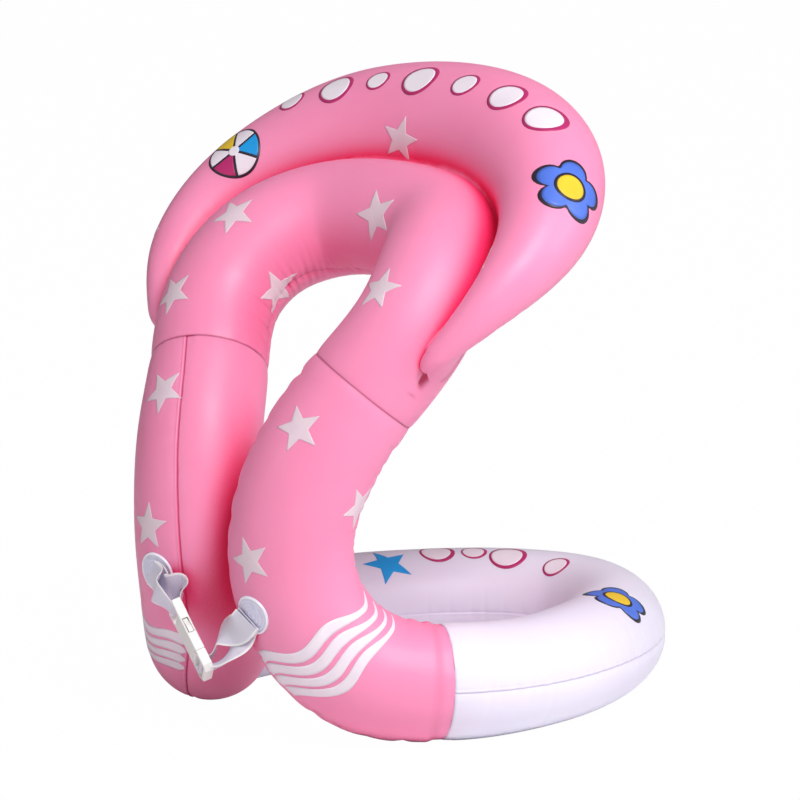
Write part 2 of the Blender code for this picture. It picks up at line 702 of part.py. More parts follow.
def build_patch(name, loop, mark, tube, low, high, height, side):
    """A round vinyl patch that follows the film of the tube it is welded to."""
    frame = patch_frame(loop, mark[low], mark[high], height, side)
    piece = add_piece(name, loop_tube(loop, mark, tube, JOINT_GAP + PATCH_THICKNESS), "clear_vinyl")
    round_cut = cylinder_mesh(PATCH_RADIUS, -PATCH_RADIUS, PATCH_RADIUS, PATCH_SIDES)
    disc = add_cutter(name + "_outline", round_cut)
    disc.matrix_basis = frame
    cut(piece, disc, "INTERSECT")
    cut(piece, add_cutter(name + "_core", loop_tube(loop, mark, tube, JOINT_GAP)))
    return frame


def ribbon(name, sections, finish):
    """Webbing through sections of centre and width direction, smooth along its length."""
    centres = [Vector(c) for c, _ in sections]
    widths = [Vector(w).normalized() for _, w in sections]
    rows = [(*c, *w) for c, w in zip(centres, widths)]
    chords = [0.0]
    for a, b in zip(centres, centres[1:]):
        chords.append(chords[-1] + (b - a).length)
    steps = round(chords[-1] / WEBBING_STEP)
    smooth_rows = natural_spline(chords, rows, np.linspace(0, chords[-1], steps + 1))
    points, faces = [], []
    for row in smooth_rows:
        centre, width = Vector(row[:3]), Vector(row[3:]).normalized()
        for share in (-0.5, 0.0, 0.5):
            points.append(centre + width * WEBBING_WIDTH * share)
    for i in range(steps):
        for j in range(2):
            k = 3 * i + j
            faces.append((k, k + 1, k + 4, k + 3))
    mesh = bpy.data.meshes.new(name)
    mesh.from_pydata(points, [], faces)
    smooth(mesh, 60)
    piece = add_piece(name, mesh, finish)
    thick = piece.modifiers.new("thickness", "SOLIDIFY")
    thick.thickness = WEBBING_THICKNESS
    thick.offset = 0.0
    return piece


def buckle_frame():
    """Local Z up the buckle towards the socket's bar, X across it and -Y out of its face."""
    tilt, roll = math.radians(BUCKLE_TILT), math.radians(BUCKLE_ROLL)
    down = Vector((math.sin(tilt), 0, -math.cos(tilt)))
    flat = Vector((math.cos(tilt), 0, math.sin(tilt)))
    face = Vector((0, -1, 0))
    across = flat * math.cos(roll) + face * math.sin(roll)
    return frame_matrix(BUCKLE_CENTRE, -down, across)


def mouth_line(base):
    """The stepped line where plug and socket meet, from the right edge to the left."""
    half = BUCKLE_WIDTH / 2
    peak = base + MOUTH_PEAK
    right = [(half, base), (half * MOUTH_SHOULDER, base),
             (half * MOUTH_RISE, peak), (half * MOUTH_CREST, peak)]
    return right + [(0.0, base + MOUTH_PEAK * MOUTH_DIP)] + [(-x, z) for x, z in reversed(right)]


def socket_mouth():
    """The level of the socket's mouth along the buckle."""
    return (PLUG_BASE_LENGTH - SOCKET_LENGTH) / 2


def build_socket(frame):
    """The buckle's female half: a hollow box with side windows and a webbing bar."""
    mouth = socket_mouth()
    top = mouth + SOCKET_LENGTH
    half = BUCKLE_WIDTH / 2
    slot_half = SLOT_WIDTH / 2
    bar_level = top - BAR_DIAMETER / 2
    slot_low = bar_level - BAR_DIAMETER / 2 - STRAP_SLOT
    waist = mouth + WINDOW_BOTTOM + WINDOW_LENGTH / 2
    flank = [(half - WAIST_DEPTH, waist), (half - WAIST_DEPTH / 2, slot_low), (half, top)]
    lower = [(x, z + MOUTH_GAP) for x, z in mouth_line(mouth)]
    corners = lower + [(-x, z) for x, z in flank] + [
        (-slot_half, top), (-slot_half, slot_low), (slot_half, slot_low), (slot_half, top)] + flank[::-1]
    body = add_piece("buckle_socket", outline_mesh(corners, BUCKLE_THICKNESS, BUCKLE_EDGE), "buckle")
    cutters = {
        "cavity_cut": box_mesh((-CAVITY_WIDTH / 2, -CAVITY_HEIGHT / 2, mouth - MOUTH_PEAK),
                               (CAVITY_WIDTH / 2, CAVITY_HEIGHT / 2, mouth + CAVITY_DEPTH)),
        "window_cut": box_mesh((-BUCKLE_WIDTH, -CAVITY_HEIGHT / 2, mouth + WINDOW_BOTTOM),
                               (BUCKLE_WIDTH, CAVITY_HEIGHT / 2, mouth + WINDOW_BOTTOM + WINDOW_LENGTH)),
    }
    for name, mesh in cutters.items():
        cutter = add_cutter(name, mesh)
        cutter.matrix_basis = frame
        cut(body, cutter)
    reach = slot_half + BUCKLE_EDGE
    bar = add_cutter("bar_join", cylinder_mesh(BAR_DIAMETER / 2, -reach, reach, BAR_SIDES))
    bar.matrix_basis = frame @ Matrix.Translation((0, 0, bar_level)) @ Matrix.Rotation(math.pi / 2, 4, "Y")
    cut(body, bar, "UNION")
    body.matrix_basis = frame
    return body, bar_level


def build_plug(frame):
    """The buckle's male half without its prongs: a slotted base and a guide tongue."""
    mouth = socket_mouth()
    half = BUCKLE_WIDTH / 2
    slot_half = SLOT_WIDTH / 2
    low = mouth - PLUG_BASE_LENGTH
    chamfer = PLUG_END_CHAMFER
    corners = mouth_line(mouth) + [(-half, low + chamfer), (-half + chamfer, low),
                                   (half - chamfer, low), (half, low + chamfer)]
    base = add_piece("buckle_plug", outline_mesh(corners, BUCKLE_THICKNESS, BUCKLE_EDGE), "buckle")
    bar_level = low + PLUG_END_RAIL + PLUG_SLOT + PLUG_BAR_WIDTH / 2
    bar_low, bar_high = bar_level - PLUG_BAR_WIDTH / 2, bar_level + PLUG_BAR_WIDTH / 2
    far = BUCKLE_THICKNESS
    cutters = {
        "slot_low_cut": box_mesh((-slot_half, -far, bar_low - PLUG_SLOT), (slot_half, far, bar_low)),
        "slot_high_cut": box_mesh((-slot_half, -far, bar_high), (slot_half, far, bar_high + PLUG_SLOT)),
    }
    for side, name in ((-1, "bar_front_cut"), (1, "bar_back_cut")):
        near, away = sorted((side * PLUG_BAR_DEPTH / 2, side * far))
        cutters[name] = box_mesh((-slot_half, near, bar_low - PLUG_SLOT / 2),
                                 (slot_half, away, bar_high + PLUG_SLOT / 2))
    for name, mesh in cutters.items():
        cutter = add_cutter(name, mesh)
        cutter.matrix_basis = frame
        cut(base, cutter)
    tongue_half = CAVITY_HEIGHT / 2 - 2 * JOINT_GAP
    tongue = add_cutter("tongue_join", box_mesh(
        (-TONGUE_WIDTH / 2, -tongue_half, mouth - 1 * MM),
        (TONGUE_WIDTH / 2, tongue_half, mouth + TONGUE_LENGTH), TONGUE_EDGE))
    tongue.matrix_basis = frame
    cut(base, tongue, "UNION")
    base.matrix_basis = frame
    return base, bar_level


def prong_outline(side):
    """One latch prong: a slim arm with a barbed head that fills its window."""
    mouth = socket_mouth()
    root = mouth + JOINT_GAP
    outer = CAVITY_WIDTH / 2 - JOINT_GAP
    inner = outer - PRONG_THICKNESS
    reach = outer + PRONG_HEAD_REACH
    catch = mouth + WINDOW_BOTTOM + JOINT_GAP
    tip = mouth + WINDOW_BOTTOM + WINDOW_LENGTH - JOINT_GAP
    points = [(inner, root), (outer - PRONG_RELIEF, root), (outer, root + PRONG_SHOULDER),
              (outer, catch), (reach, catch), (reach, catch + PRONG_NOSE),
              (outer + PRONG_RELIEF / 2, tip), (inner - PRONG_RELIEF / 2, tip), (inner, catch)]
    return [(side * x, z) for x, z in points], (side * (inner + outer) / 2, 0, root)


def build_prong(name, frame, side):
    outline, root = prong_outline(side)
    thickness = CAVITY_HEIGHT - 4 * JOINT_GAP
    piece = add_piece(name, outline_mesh(outline, thickness, PRONG_EDGE), "buckle")
    piece.matrix_basis = frame
    return piece, root


def local_section(frame, x, y, z, width=(1, 0, 0)):
    return frame @ Vector((x, y, z)), frame.to_3x3() @ Vector(width)


def patch_section(frame, along, lift, heading):
    """A webbing section over a patch: along its heading from the centre, lifted off the film."""
    turn = math.radians(heading)
    forward = Vector((math.cos(turn), math.sin(turn), 0))
    width = Vector((-math.sin(turn), math.cos(turn), 0))
    return frame @ (forward * along + Vector((0, 0, lift))), frame.to_3x3() @ width


def webbing_levels():
    """How far the lower and the upper end of a strap lie above the film, middle to surface."""
    lower = PATCH_THICKNESS + 2 * JOINT_GAP + WEBBING_THICKNESS / 2
    return lower, lower + WEBBING_THICKNESS + JOINT_GAP


def build_left_strap(frame, bar_level, patch):
    """The loop from the left patch: over the front, round the socket's bar and back behind it."""
    on_film, on_webbing = webbing_levels()
    reach = BAR_DIAMETER / 2 + JOINT_GAP + WEBBING_THICKNESS
    heading = STRAP_HEADING_LEFT
    wrap = []
    for turn in (-90, -45, 0, 45, 90):
        angle = math.radians(turn)
        wrap.append(local_section(frame, 0, math.sin(angle) * reach, bar_level - math.cos(angle) * reach))
    sections = [
        patch_section(patch, -2 * MM, on_webbing + 0.3 * MM, heading),
        patch_section(patch, 8 * MM, on_webbing + 2 * MM, heading),
        local_section(frame, 0, -9 * MM, bar_level + 21 * MM, (0.94, 0.1, -0.3)),
        local_section(frame, 0, -reach - 0.5 * MM, bar_level + 3 * MM),
        *wrap,
        local_section(frame, 0, reach + 1.5 * MM, bar_level + 2.5 * MM),
        local_section(frame, 6 * MM, reach + 7.2 * MM, bar_level + 15 * MM, (0.82, 0.25, -0.51)),
        patch_section(patch, PATCH_RADIUS + 1.5 * MM, on_film + 3.5 * MM, heading),
        patch_section(patch, 9 * MM, on_film + 0.5 * MM, heading),
        patch_section(patch, 0, on_film, heading),
    ]
    return ribbon("strap_left", sections, "webbing")


def build_right_strap(frame, bar_level, patch):
    """The loop from the right patch, which turns round the front of the plug's bar."""
    on_film, on_webbing = webbing_levels()
    reach = PLUG_BAR_WIDTH / 2 + 2 * JOINT_GAP + WEBBING_THICKNESS
    heading = STRAP_HEADING_RIGHT
    back = BUCKLE_THICKNESS / 2
    turn = [local_section(frame, 0, y, bar_level + reach) for y in (back + 0.5 * MM, back / 2)]
    for degrees in (80, 50, 25, 0, -25, -50, -80):
        angle = math.radians(degrees)
        turn.append(local_section(frame, 0, -math.cos(angle) * reach, bar_level + math.sin(angle) * reach))
    turn += [local_section(frame, 0, y, bar_level - reach) for y in (back / 2, back + 0.5 * MM)]
    sections = [
        patch_section(patch, 4 * MM, on_webbing + 0.3 * MM, heading),
        patch_section(patch, 15 * MM, on_webbing + 4 * MM, heading),
        local_section(frame, 17 * MM, 20 * MM, bar_level + 14 * MM, (0.7, -0.35, -0.6)),
        *turn,
        local_section(frame, 18 * MM, 17 * MM, bar_level - 5 * MM, (0.8, -0.3, -0.5)),
        patch_section(patch, PATCH_RADIUS + 5.5 * MM, on_film + 3 * MM, heading + 12),
        patch_section(patch, 14 * MM, on_film + 0.3 * MM, heading + 8),
        patch_section(patch, 3 * MM, on_film, heading),
    ]
    return ribbon("strap_right", sections, "webbing")


def centre_on_footprint():
    """Moves the whole ring so that the origin is under the middle of its box."""
    bpy.context.view_layer.update()
    graph = bpy.context.evaluated_depsgraph_get()
    corners = []
    for piece in PARTS.objects:
        if piece.type == "MESH":
            solid = piece.evaluated_get(graph)
            corners += [solid.matrix_world @ v.co for v in solid.data.vertices]
    low = [min(c[i] for c in corners) for i in range(3)]
    high = [max(c[i] for c in corners) for i in range(3)]
    ROOT.location = (-(low[0] + high[0]) / 2, -(low[1] + high[1]) / 2, -low[2])


def build_buckle(left_patch, right_patch):
    """The two straps and the buckle between them, with the empties on their joints' axes."""
    frame = buckle_frame()
    left_hold = left_patch @ Vector((STRAP_HOLD_ACROSS, -STRAP_HOLD_DOWN, 0))
    right_hold = right_patch @ Vector((-STRAP_HOLD_ACROSS, -STRAP_HOLD_DOWN, 0))
    middle, line = (left_hold + right_hold) / 2, left_hold - right_hold
    swing = mark_joint("strap_swing", Matrix.Identity(4), middle, line)
    slide = mark_joint("plug_slide", frame, (0, 0, socket_mouth()), (0, 0, -1))
    socket, socket_bar = build_socket(frame)
    plug, plug_bar = build_plug(frame)
    carry(socket, swing)
    carry(plug, slide)
    for name, side in (("latch_prong_left", -1), ("latch_prong_right", 1)):
        prong, root = build_prong(name, frame, side)
        carry(prong, mark_joint(name + "_flex", frame, root, (0, -side, 0)))
    carry(build_left_strap(frame, socket_bar, left_patch), swing)
    carry(build_right_strap(frame, plug_bar, right_patch), swing)


def main():
    loop, mark = whole_loop()
    tubes = build_loop_tubes(loop, mark)
    crescent, collar, crown_mark = build_collar(loop, mark)
    build_valve("ring_valve", tubes["body_ring"], loop, mark["ring_back_left"], RING_VALVE_OUTWARD)
    build_valve("arch_valve", tubes["neck_arch"], loop,
                mark["right_weld"] + ARCH_VALVE_PAST_WELD, ARCH_VALVE_OUTWARD)
    build_valve("collar_valve", collar, crescent, crown_mark, COLLAR_VALVE_OUTWARD)
    left_patch = build_patch("patch_left", loop, mark, "front_tube_left",
                             "left_chest", "left_heel", PATCH_HEIGHT_LEFT, -1)
    right_patch = build_patch("patch_right", loop, mark, "front_tube_right",
                              "right_heel", "right_chest", PATCH_HEIGHT_RIGHT, 1)
    build_buckle(left_patch, right_patch)
    centre_on_footprint()


clear_scene()
PARTS = make_collection("swim_ring")
CUTTERS = make_collection("cutters")
ROOT = bpy.data.objects.new("swim_ring_origin", None)
PARTS.objects.link(ROOT)
main()
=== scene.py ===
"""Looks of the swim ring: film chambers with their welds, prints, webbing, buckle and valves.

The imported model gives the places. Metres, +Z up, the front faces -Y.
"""
import json
from dataclasses import dataclass
from functools import partial
from math import cos, exp, pi, radians, sin, sqrt

import bmesh
import bpy
import numpy as np
from mathutils import Matrix, Vector
from mathutils.bvhtree import BVHTree

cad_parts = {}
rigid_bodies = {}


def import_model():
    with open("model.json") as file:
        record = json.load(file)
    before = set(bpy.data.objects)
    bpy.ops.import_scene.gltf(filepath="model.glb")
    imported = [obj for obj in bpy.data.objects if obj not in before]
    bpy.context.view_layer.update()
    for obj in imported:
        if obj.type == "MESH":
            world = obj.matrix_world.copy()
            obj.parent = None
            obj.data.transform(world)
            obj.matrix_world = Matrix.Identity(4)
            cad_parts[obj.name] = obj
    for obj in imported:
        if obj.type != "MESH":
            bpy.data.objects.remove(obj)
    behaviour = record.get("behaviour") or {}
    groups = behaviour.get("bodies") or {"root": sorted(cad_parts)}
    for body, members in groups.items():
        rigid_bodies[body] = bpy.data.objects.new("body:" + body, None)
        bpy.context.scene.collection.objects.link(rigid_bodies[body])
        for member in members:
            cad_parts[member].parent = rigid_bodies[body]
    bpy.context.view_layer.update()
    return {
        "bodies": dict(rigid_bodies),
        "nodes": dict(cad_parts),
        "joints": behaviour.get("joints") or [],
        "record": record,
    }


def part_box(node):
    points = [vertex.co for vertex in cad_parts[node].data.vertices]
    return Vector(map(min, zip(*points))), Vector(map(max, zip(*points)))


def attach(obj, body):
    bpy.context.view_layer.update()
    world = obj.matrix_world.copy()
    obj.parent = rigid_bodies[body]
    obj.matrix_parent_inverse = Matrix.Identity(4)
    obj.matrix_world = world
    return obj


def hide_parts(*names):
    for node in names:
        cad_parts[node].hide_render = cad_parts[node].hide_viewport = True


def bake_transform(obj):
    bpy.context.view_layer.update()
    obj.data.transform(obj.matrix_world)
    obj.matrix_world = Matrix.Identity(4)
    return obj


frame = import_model()

MM = 0.001
SCENE = bpy.context.scene

# The part's origin lies under the middle of its box; the routes below start from the front welds
BACK_OF_RING_Y = 343.5 * MM
FOOTPRINT_SHIFT = Vector((0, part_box("body_ring")[1][1] - BACK_OF_RING_Y, 0))

# The photograph: a square frame, and the camera that its outlines give
PHOTO_SIZE = 800
PHOTO_AZIMUTH = 45.2037
PHOTO_ELEVATION = 9.939
PHOTO_DISTANCE = 4.86345
PHOTO_SCALE = 1253.92
PHOTO_TARGET = Vector((0, 0, 0.28)) + FOOTPRINT_SHIFT
PHOTO_TARGET_PIXEL = (317.80, 371.89)
PHOTO_FOCAL = PHOTO_SCALE * PHOTO_DISTANCE
SENSOR_WIDTH = 36

# Studio light: each lamp's direction (right, towards the camera, up), distance, size and power, and
# how white the floor shows to the camera
LAMPS = [
    ("key", (0.36, 0.66, 0.68), 2.4, 1.1, 47), ("side", (0.95, 0.2, 0.4), 2.4, 1.2, 16),
    ("fill", (-0.9, 0.6, 0.35), 2.6, 1.5, 8)]
WORLD_COLOUR, WORLD_STRENGTH = (1.0, 0.95, 0.97), 0.22
FLOOR_GLOW = 0.99

# The loop of tubes, in millimetres: x, y, z and radius, from the back of the ring to the top of the arch
RING_HALF_WIDTH = 146.5
RING_WIDEST_Y = 88
RING_BACK_Y = 298.5
RING_ROUNDNESS = 1.85
RING_TUBE_RADIUS = 45
FLOOR_FLAT = 1.5
FRONT_STATIONS = [
    (129, 9.5, 46, 47.5), (92, -34, 55, 50), (61, -70, 101, 50), (54, -82, 161, 50), (66, -68, 224, 50),
    (88, -36, 280, 48), (108, 0, 331, 47), (96, 40, 370, 47), (65, 77, 388, 47), (0, 88, 394, 47)]
COLLAR_STATIONS = [
    (150, -33, 303, 8), (181, 11, 353.5, 20), (178.5, 66, 395, 33.5), (142, 117, 429.5, 45),
    (77, 152, 451, 54), (0, 163, 458, 56)]
COLLAR_SEAT_DEPTH = 3 * MM
COLLAR_SEAT_LEAN = (0.69, 0.5, 0.65)
SHOULDER_HALF_WIDTH = 96 * MM
ARCH_PLANE_NORMAL = (0, -0.677, 0.736)

# Prints, as pixels of the photograph: the middle of each star, one of its tips, and its size
PHOTO_STARS = [
    ((297.9, 428.4), (295.4, 404.6), 1), ((248.8, 561.1), (241.1, 536.5), 1), ((359, 507), (358.2, 487.4), 1),
    ((375.5, 214.8), (373, 191.6), 1.1), ((378.9, 288.6), (387, 272.8), 1), ((277.7, 291), (272.4, 269.5), 1),
    ((233, 213.9), (250.4, 199.9), 1), ((172.4, 293.5), (183.2, 278.6), 1), ((162.4, 391), (175.8, 373.1), 1),
    ((147.9, 526.4), (148, 502), 1), ((400, 140), (403, 118), 1)]
BLUE_STAR = ((387.7, 563.9), (385.9, 587))
# Stars on the sides that it doesn't show: share of the chamber's length, turn and lean in degrees
HIDDEN_STARS = {
    "front_tube_right": [(0.66, -110, 10), (0.42, -95, -20), (0.17, -120, 5)],
    "front_tube_left": [(0.30, 132, 15), (0.55, -140, -15), (0.78, 160, 30)],
    "neck_arch": [(0.28, -95, 20), (0.66, -130, -20)],
    "head_collar": [
        (0.135, -132, 25), (0.30, 118, 40), (0.42, 78, -20), (0.56, 104, 15), (0.68, 62, -25), (0.80, 96, 10),
        (0.88, 20, -10)],
    "body_ring": [(0.24, 34, 12), (0.52, 60, -15)]}
# Bubbles, flowers and the ball: the middle and the size in metres
BUBBLES = [
    ((292, 101), 0.012), ((336, 88), 0.016), ((378, 80), 0.011), ((420, 79), 0.017), ((465, 84), 0.013),
    ((507, 96), 0.017), ((546, 118), 0.019), ((437, 552.5), 0.015), ((474, 552), 0.011), ((508, 556), 0.016),
    ((556, 566), 0.012)]
FLOWERS = [((571, 187), 0.030), ((618, 598), 0.028)]
BALL = ((234, 151), 0.024)
BALL_PANELS = ("blue", "bubble", "yellow", "bubble", "edge", "bubble")
BALL_PANEL_MIDDLE = 0.58
STAR_SIZE = 20 * MM
BLUE_STAR_SIZE = 22 * MM
STAR_WAIST = 0.43
PRINT_LIFT = 0.22 * MM
PRINT_LAYER = 0.14 * MM
PRINT_SKIRT = 0.5 * MM
PRINT_RINGS = 9
PROBE = 25 * MM

# Painted shade: how far off a facing film, and the chamber's own, deepens the colour by ambient occlusion,
# and the openness at which that painted shade is at its full and ends
FOLD_SHADE_AO = (80 * MM, 0.30, 0.76)
BEND_SHADE_AO = (170 * MM, 0.50, 0.86)

# Where the arch's inner and the collar's upper seam lie, and the tucks at the ends of the collar's
# folds, in millimetres from the arch's welds
ARCH_SEAM_TURN = radians(-18)
COLLAR_SEAM_TURN = 1.8
TUCK_PLACE = 35
TUCK_TURN = radians(-175)

# The fold between collar and arch: the gap at which a narrow strip of film bridges it
FOLD_STEP = 2.5 * MM
FOLD_GAP = 3.5 * MM
TAIL_REACH = 80 * MM
TAIL_RUN = 12 * MM
TAIL_TURN = radians(42)
TAIL_OFFSET = radians(82)

# Waves on the heels, measured from the colour weld
WAVE_START, WAVE_START_STEP = 116 * MM, 8.5 * MM
WAVE_END, WAVE_END_STEP = 113 * MM, 18.5 * MM
WAVE_HEIGHT, UPTURN = 4 * MM, 9 * MM

# Patches, webbing and buckle, in millimetres and degrees
PATCH_RADIUS = 16.5
PATCH_THICKNESS = 0.9
PATCH_RING_HEIGHT = 0.16
PATCH_RING_STEP = 3.1
PATCH_RIM_HEIGHT = 0.5
PATCH_PLACES = (("left", 128, 4), ("right", 108, -4))
WEBBING_WIDTH = 25
WEBBING_THICKNESS = 0.9
WEBBING_STEP = 0.8
LOWER_LEVEL = 2.25
UPPER_LEVEL = LOWER_LEVEL + 1.2
HEADING_LEFT = -32
HEADING_RIGHT = 224
BUCKLE_CENTRE = (-4.8, -134.5, 80.9)
BUCKLE_TILT = radians(38)
BUCKLE_ROLL = radians(32)
BUCKLE_THICKNESS = 8
BAR_RADIUS = 2
SOCKET_BAR = 30
PLUG_BAR = -22.4
PLUG_BAR_WIDTH = 3.6

# How far from its patch the right loop is parted
LOOP_CUT = 30.5 * MM

# Surfaces: where noise starts and ends to count, the film's grain, and the webbing's ribs and paler edge
NOISE_LOW, NOISE_HIGH = 0.3, 0.7
FILM_GRAIN = 1400.0
INK_ROUGHNESS = 0.42
WEAVE_MM = (("Y", 1.25), ("X", 0.9))
SELVEDGE_MM = (10.4, 11.4)

# How finely the film is drawn
TABLE_STEP = 1 * MM
FILM_STEP = 2 * MM
WELD_STEP = 0.6 * MM
WELD_REACH = 14 * MM
FILM_SIDES = 132
SEAM_CLUSTER = 0.75


def photo_view():
    """The axes of the photograph's camera, right, up and back, and its place."""
    azimuth, elevation = radians(PHOTO_AZIMUTH), radians(PHOTO_ELEVATION)
    right = Vector((cos(azimuth), sin(azimuth), 0))
    back = Vector((sin(azimuth) * cos(elevation), -cos(azimuth) * cos(elevation),
                   sin(elevation)))
    up = back.cross(right)
    aside, down = (PHOTO_SIZE / 2 - value for value in PHOTO_TARGET_PIXEL)
    return right, up, back, PHOTO_TARGET + back * PHOTO_DISTANCE + (right * aside - up * down) / PHOTO_SCALE


RIGHT, UP, BACK, PHOTO_PLACE = photo_view()


def photo_ray(across, down):
    """The direction in which the photograph's camera sees a pixel."""
    aside, below = across - PHOTO_SIZE / 2, down - PHOTO_SIZE / 2
    return (RIGHT * aside - UP * below - BACK * PHOTO_FOCAL).normalized()


def unit(rows):
    rows = np.asarray(rows, float)
    return rows / np.linalg.norm(rows, axis=-1, keepdims=True)


def natural_spline(knots, values, places):
    """Cubic spline through values at knots, with free ends, read at places."""
    knots, values = np.asarray(knots, float), np.asarray(values, float)
    count = len(knots)
    gaps = np.diff(knots)
    matrix = np.eye(count)
    right = np.zeros_like(values)
    for i in range(1, count - 1):
        matrix[i, i - 1:i + 2] = gaps[i - 1], 2 * (gaps[i - 1] + gaps[i]), gaps[i]
        right[i] = 6 * ((values[i + 1] - values[i]) / gaps[i] - (values[i] - values[i - 1]) / gaps[i - 1])
    bends = np.linalg.solve(matrix, right)
    k = np.clip(np.searchsorted(knots, places) - 1, 0, count - 2)
    h = gaps[k][:, None]
    a = (knots[k + 1] - places)[:, None] / h
    b = 1 - a
    curve = a * values[k] + b * values[k + 1]
    return curve + ((a ** 3 - a) * bends[k] + (b ** 3 - b) * bends[k + 1]) * h ** 2 / 6


class Route:
    """A smooth line through stations (x, y, z, radius) in millimetres, measured along its chords."""

    def __init__(self, stations):
        self.stations = np.array(stations, float) * MM
        self.stations[:, :3] += FOOTPRINT_SHIFT
        chords = np.linalg.norm(np.diff(self.stations[:, :3], axis=0), axis=1)
        self.marks = np.concatenate([[0], np.cumsum(chords)])

    def at(self, places):
        return natural_spline(self.marks, self.stations, np.atleast_1d(places))

    def tangents(self, places, reach=0.5 * MM):
        return unit(self.at(places + reach)[:, :3] - self.at(places - reach)[:, :3])


def mirrored(stations):
    return [(-x, y, z, radius) for x, y, z, radius in reversed(stations)]


def ring_stations():
    """The U from the mid-plane at the back to its widest place, as a blunt oval."""
    turns = [radians(turn) for turn in (0, 22, 45, 68, 90)]
    return [(RING_HALF_WIDTH * sin(turn) ** (2 / RING_ROUNDNESS),
             RING_WIDEST_Y + (RING_BACK_Y - RING_WIDEST_Y) * cos(turn) ** (2 / RING_ROUNDNESS),
             RING_TUBE_RADIUS - FLOOR_FLAT, RING_TUBE_RADIUS) for turn in turns]


def whole_loop():
    """The closed loop and the places of its welds and bends."""
    half = ring_stations() + FRONT_STATIONS
    once = mirrored(half) + half[1:-1]
    lap, weld, seam, round_trip = 6, 4, 9, 28
    route = Route(once[-lap:] + once + once[:lap + 5])
    left = {"weld": weld, "chest": weld + 2, "shin": weld + 3, "heel": seam - 1, "seam": seam}
    numbers = {f"left_{name}": number for name, number in left.items()}
    numbers |= {f"right_{name}": round_trip - number for name, number in left.items()}
    numbers["far_left_weld"] = round_trip + weld
    return route, {name: route.marks[lap + number] for name, number in numbers.items()}


LOOP, MARK = whole_loop()
CRESCENT = Route(COLLAR_STATIONS + mirrored(COLLAR_STATIONS[:-1]))


# Directions of the long seams

def square_to(vector):
    """Square to the tube and to one direction."""
    return lambda places, tangents: np.cross(vector, tangents)


def away_from_seat(places, tangents):
    """From the collar's point, just inside the arch's film, to the middle of its section."""
    centres = CRESCENT.at(places)[:, :3]
    around = LOOP.at(np.arange(MARK["right_weld"] - 15 * MM, MARK["far_left_weld"] + 15 * MM, 2 * MM))
    nearest = around[np.linalg.norm(around[None, :, :3] - centres[:, None, :], axis=2).argmin(axis=1)]
    share = np.clip(centres[:, 0] / SHOULDER_HALF_WIDTH, -1, 1)
    outward = np.stack([share, np.ones_like(share), 1 - abs(share)], axis=1) * COLLAR_SEAT_LEAN
    return centres - (nearest[:, :3] + unit(outward) * (nearest[:, 3:] - COLLAR_SEAT_DEPTH))


def turning(**steps):
    """From one direction to the next, between marks along the loop."""
    marks, columns = [MARK[name] for name in steps], list(zip(*steps.values()))
    return lambda places, tangents: np.stack([np.interp(places, marks, column) for column in columns], axis=1)


# Relief of the film, in millimetres

def wrap(turn):
    """A turn brought into the half circle on each side of zero."""
    return (turn + pi) % (2 * pi) - pi


def bell(away, width):
    """One in the middle, and falling off within this width on both sides."""
    return np.exp(-(away / width) ** 2)


class SeamCreases:
    """Short creases square to a long seam, where the flat film is gathered into a bend."""

    def __init__(self, seed, start, end, turn, spacing, depth, width, reach):
        draw = np.random.default_rng(seed)
        count = max(1, int((end - start) / spacing))
        self.turn = turn
        self.place = np.linspace(start, end, count) + draw.uniform(-0.35, 0.35, count) * spacing
        self.depth = depth * draw.uniform(0.25, 1.0, count)
        self.width = width * draw.uniform(0.7, 1.5, count)
        self.reach = reach * draw.uniform(0.5, 1.4, count)

    def height(self, place, turn, radius):
        away = np.abs(wrap(turn - self.turn)) * radius
        along = np.abs(place[:, None] - self.place) / self.width
        groove = np.exp(-along ** 1.4) * np.exp(-away[:, None] / self.reach)
        return -(self.depth * groove).sum(axis=1)


class WeldCreases:
    """Short creases that run along the tube from a weld across it."""

    def __init__(self, seed, place, count, depth, width, reach):
        draw = np.random.default_rng(seed)
        self.place = place
        self.turn = np.linspace(-pi, pi, count, endpoint=False) + draw.uniform(-0.1, 0.1, count)
        self.depth = depth * draw.uniform(0.0, 1.0, count) ** 1.5
        self.width = width * draw.uniform(0.7, 1.6, count)
        self.reach = reach * draw.uniform(0.4, 1.5, count)

    def height(self, place, turn, radius):
        away = np.abs(place - self.place)
        near = away < 6 * self.reach.max()
        around = wrap(turn[near][:, None] - self.turn) * radius[near][:, None] / self.width
        groove = np.exp(-around ** 2 / 2) * np.exp(-away[near][:, None] / self.reach)
        total = np.zeros(len(place))
        total[near] = -(self.depth * groove).sum(axis=1)
        return total


@dataclass
class SeamLip:
    """The weld of two sheets' edges: a narrow ridge beside a groove, in a shallow valley."""
    turn: float
    ridge: float = 0.8
    valley: float = 0.8
    shade: float = 0.8

    def height(self, place, turn, radius):
        away = wrap(turn - self.turn) * radius
        return self.ridge * (bell(away - 1.5, 0.8) - 0.9 * bell(away, 0.7)) - self.valley * bell(away, 4)

    # A darker line in the groove: partly the weld's double film, partly painted shade of the groove.
    def tint(self, place, turn, radius):
        return self.shade * bell(wrap(turn - self.turn) * radius, 0.6)


@dataclass
class Pinch:
    """The tube drawn in towards a weld across it, with a narrow darker line at the weld."""
    place: float
    depth: float = 1.3
    reach: float = 5

    def height(self, place, turn, radius):
        return -self.depth * np.exp(-np.abs(place - self.place) / self.reach)

    def tint(self, place, turn, radius):
        return 0.75 * bell(place - self.place, 0.8)


@dataclass
class Lap:
    """The flat band of a weld across the tube, and the step up to the blown part."""
    place: float
    depth: float = 1.8
    flat: float = 6
    rise: float = 6

    def height(self, place, turn, radius):
        s = np.clip((np.abs(place - self.place) - self.flat) / self.rise, 0, 1)
        return -self.depth * (1 - s * s * (3 - 2 * s))

    # Painted shade on the step up from the flat band to the blown part.
    def tint(self, place, turn, radius):
        return 0.22 * bell(np.abs(place - self.place) - self.flat - self.rise / 2, self.rise / 2)


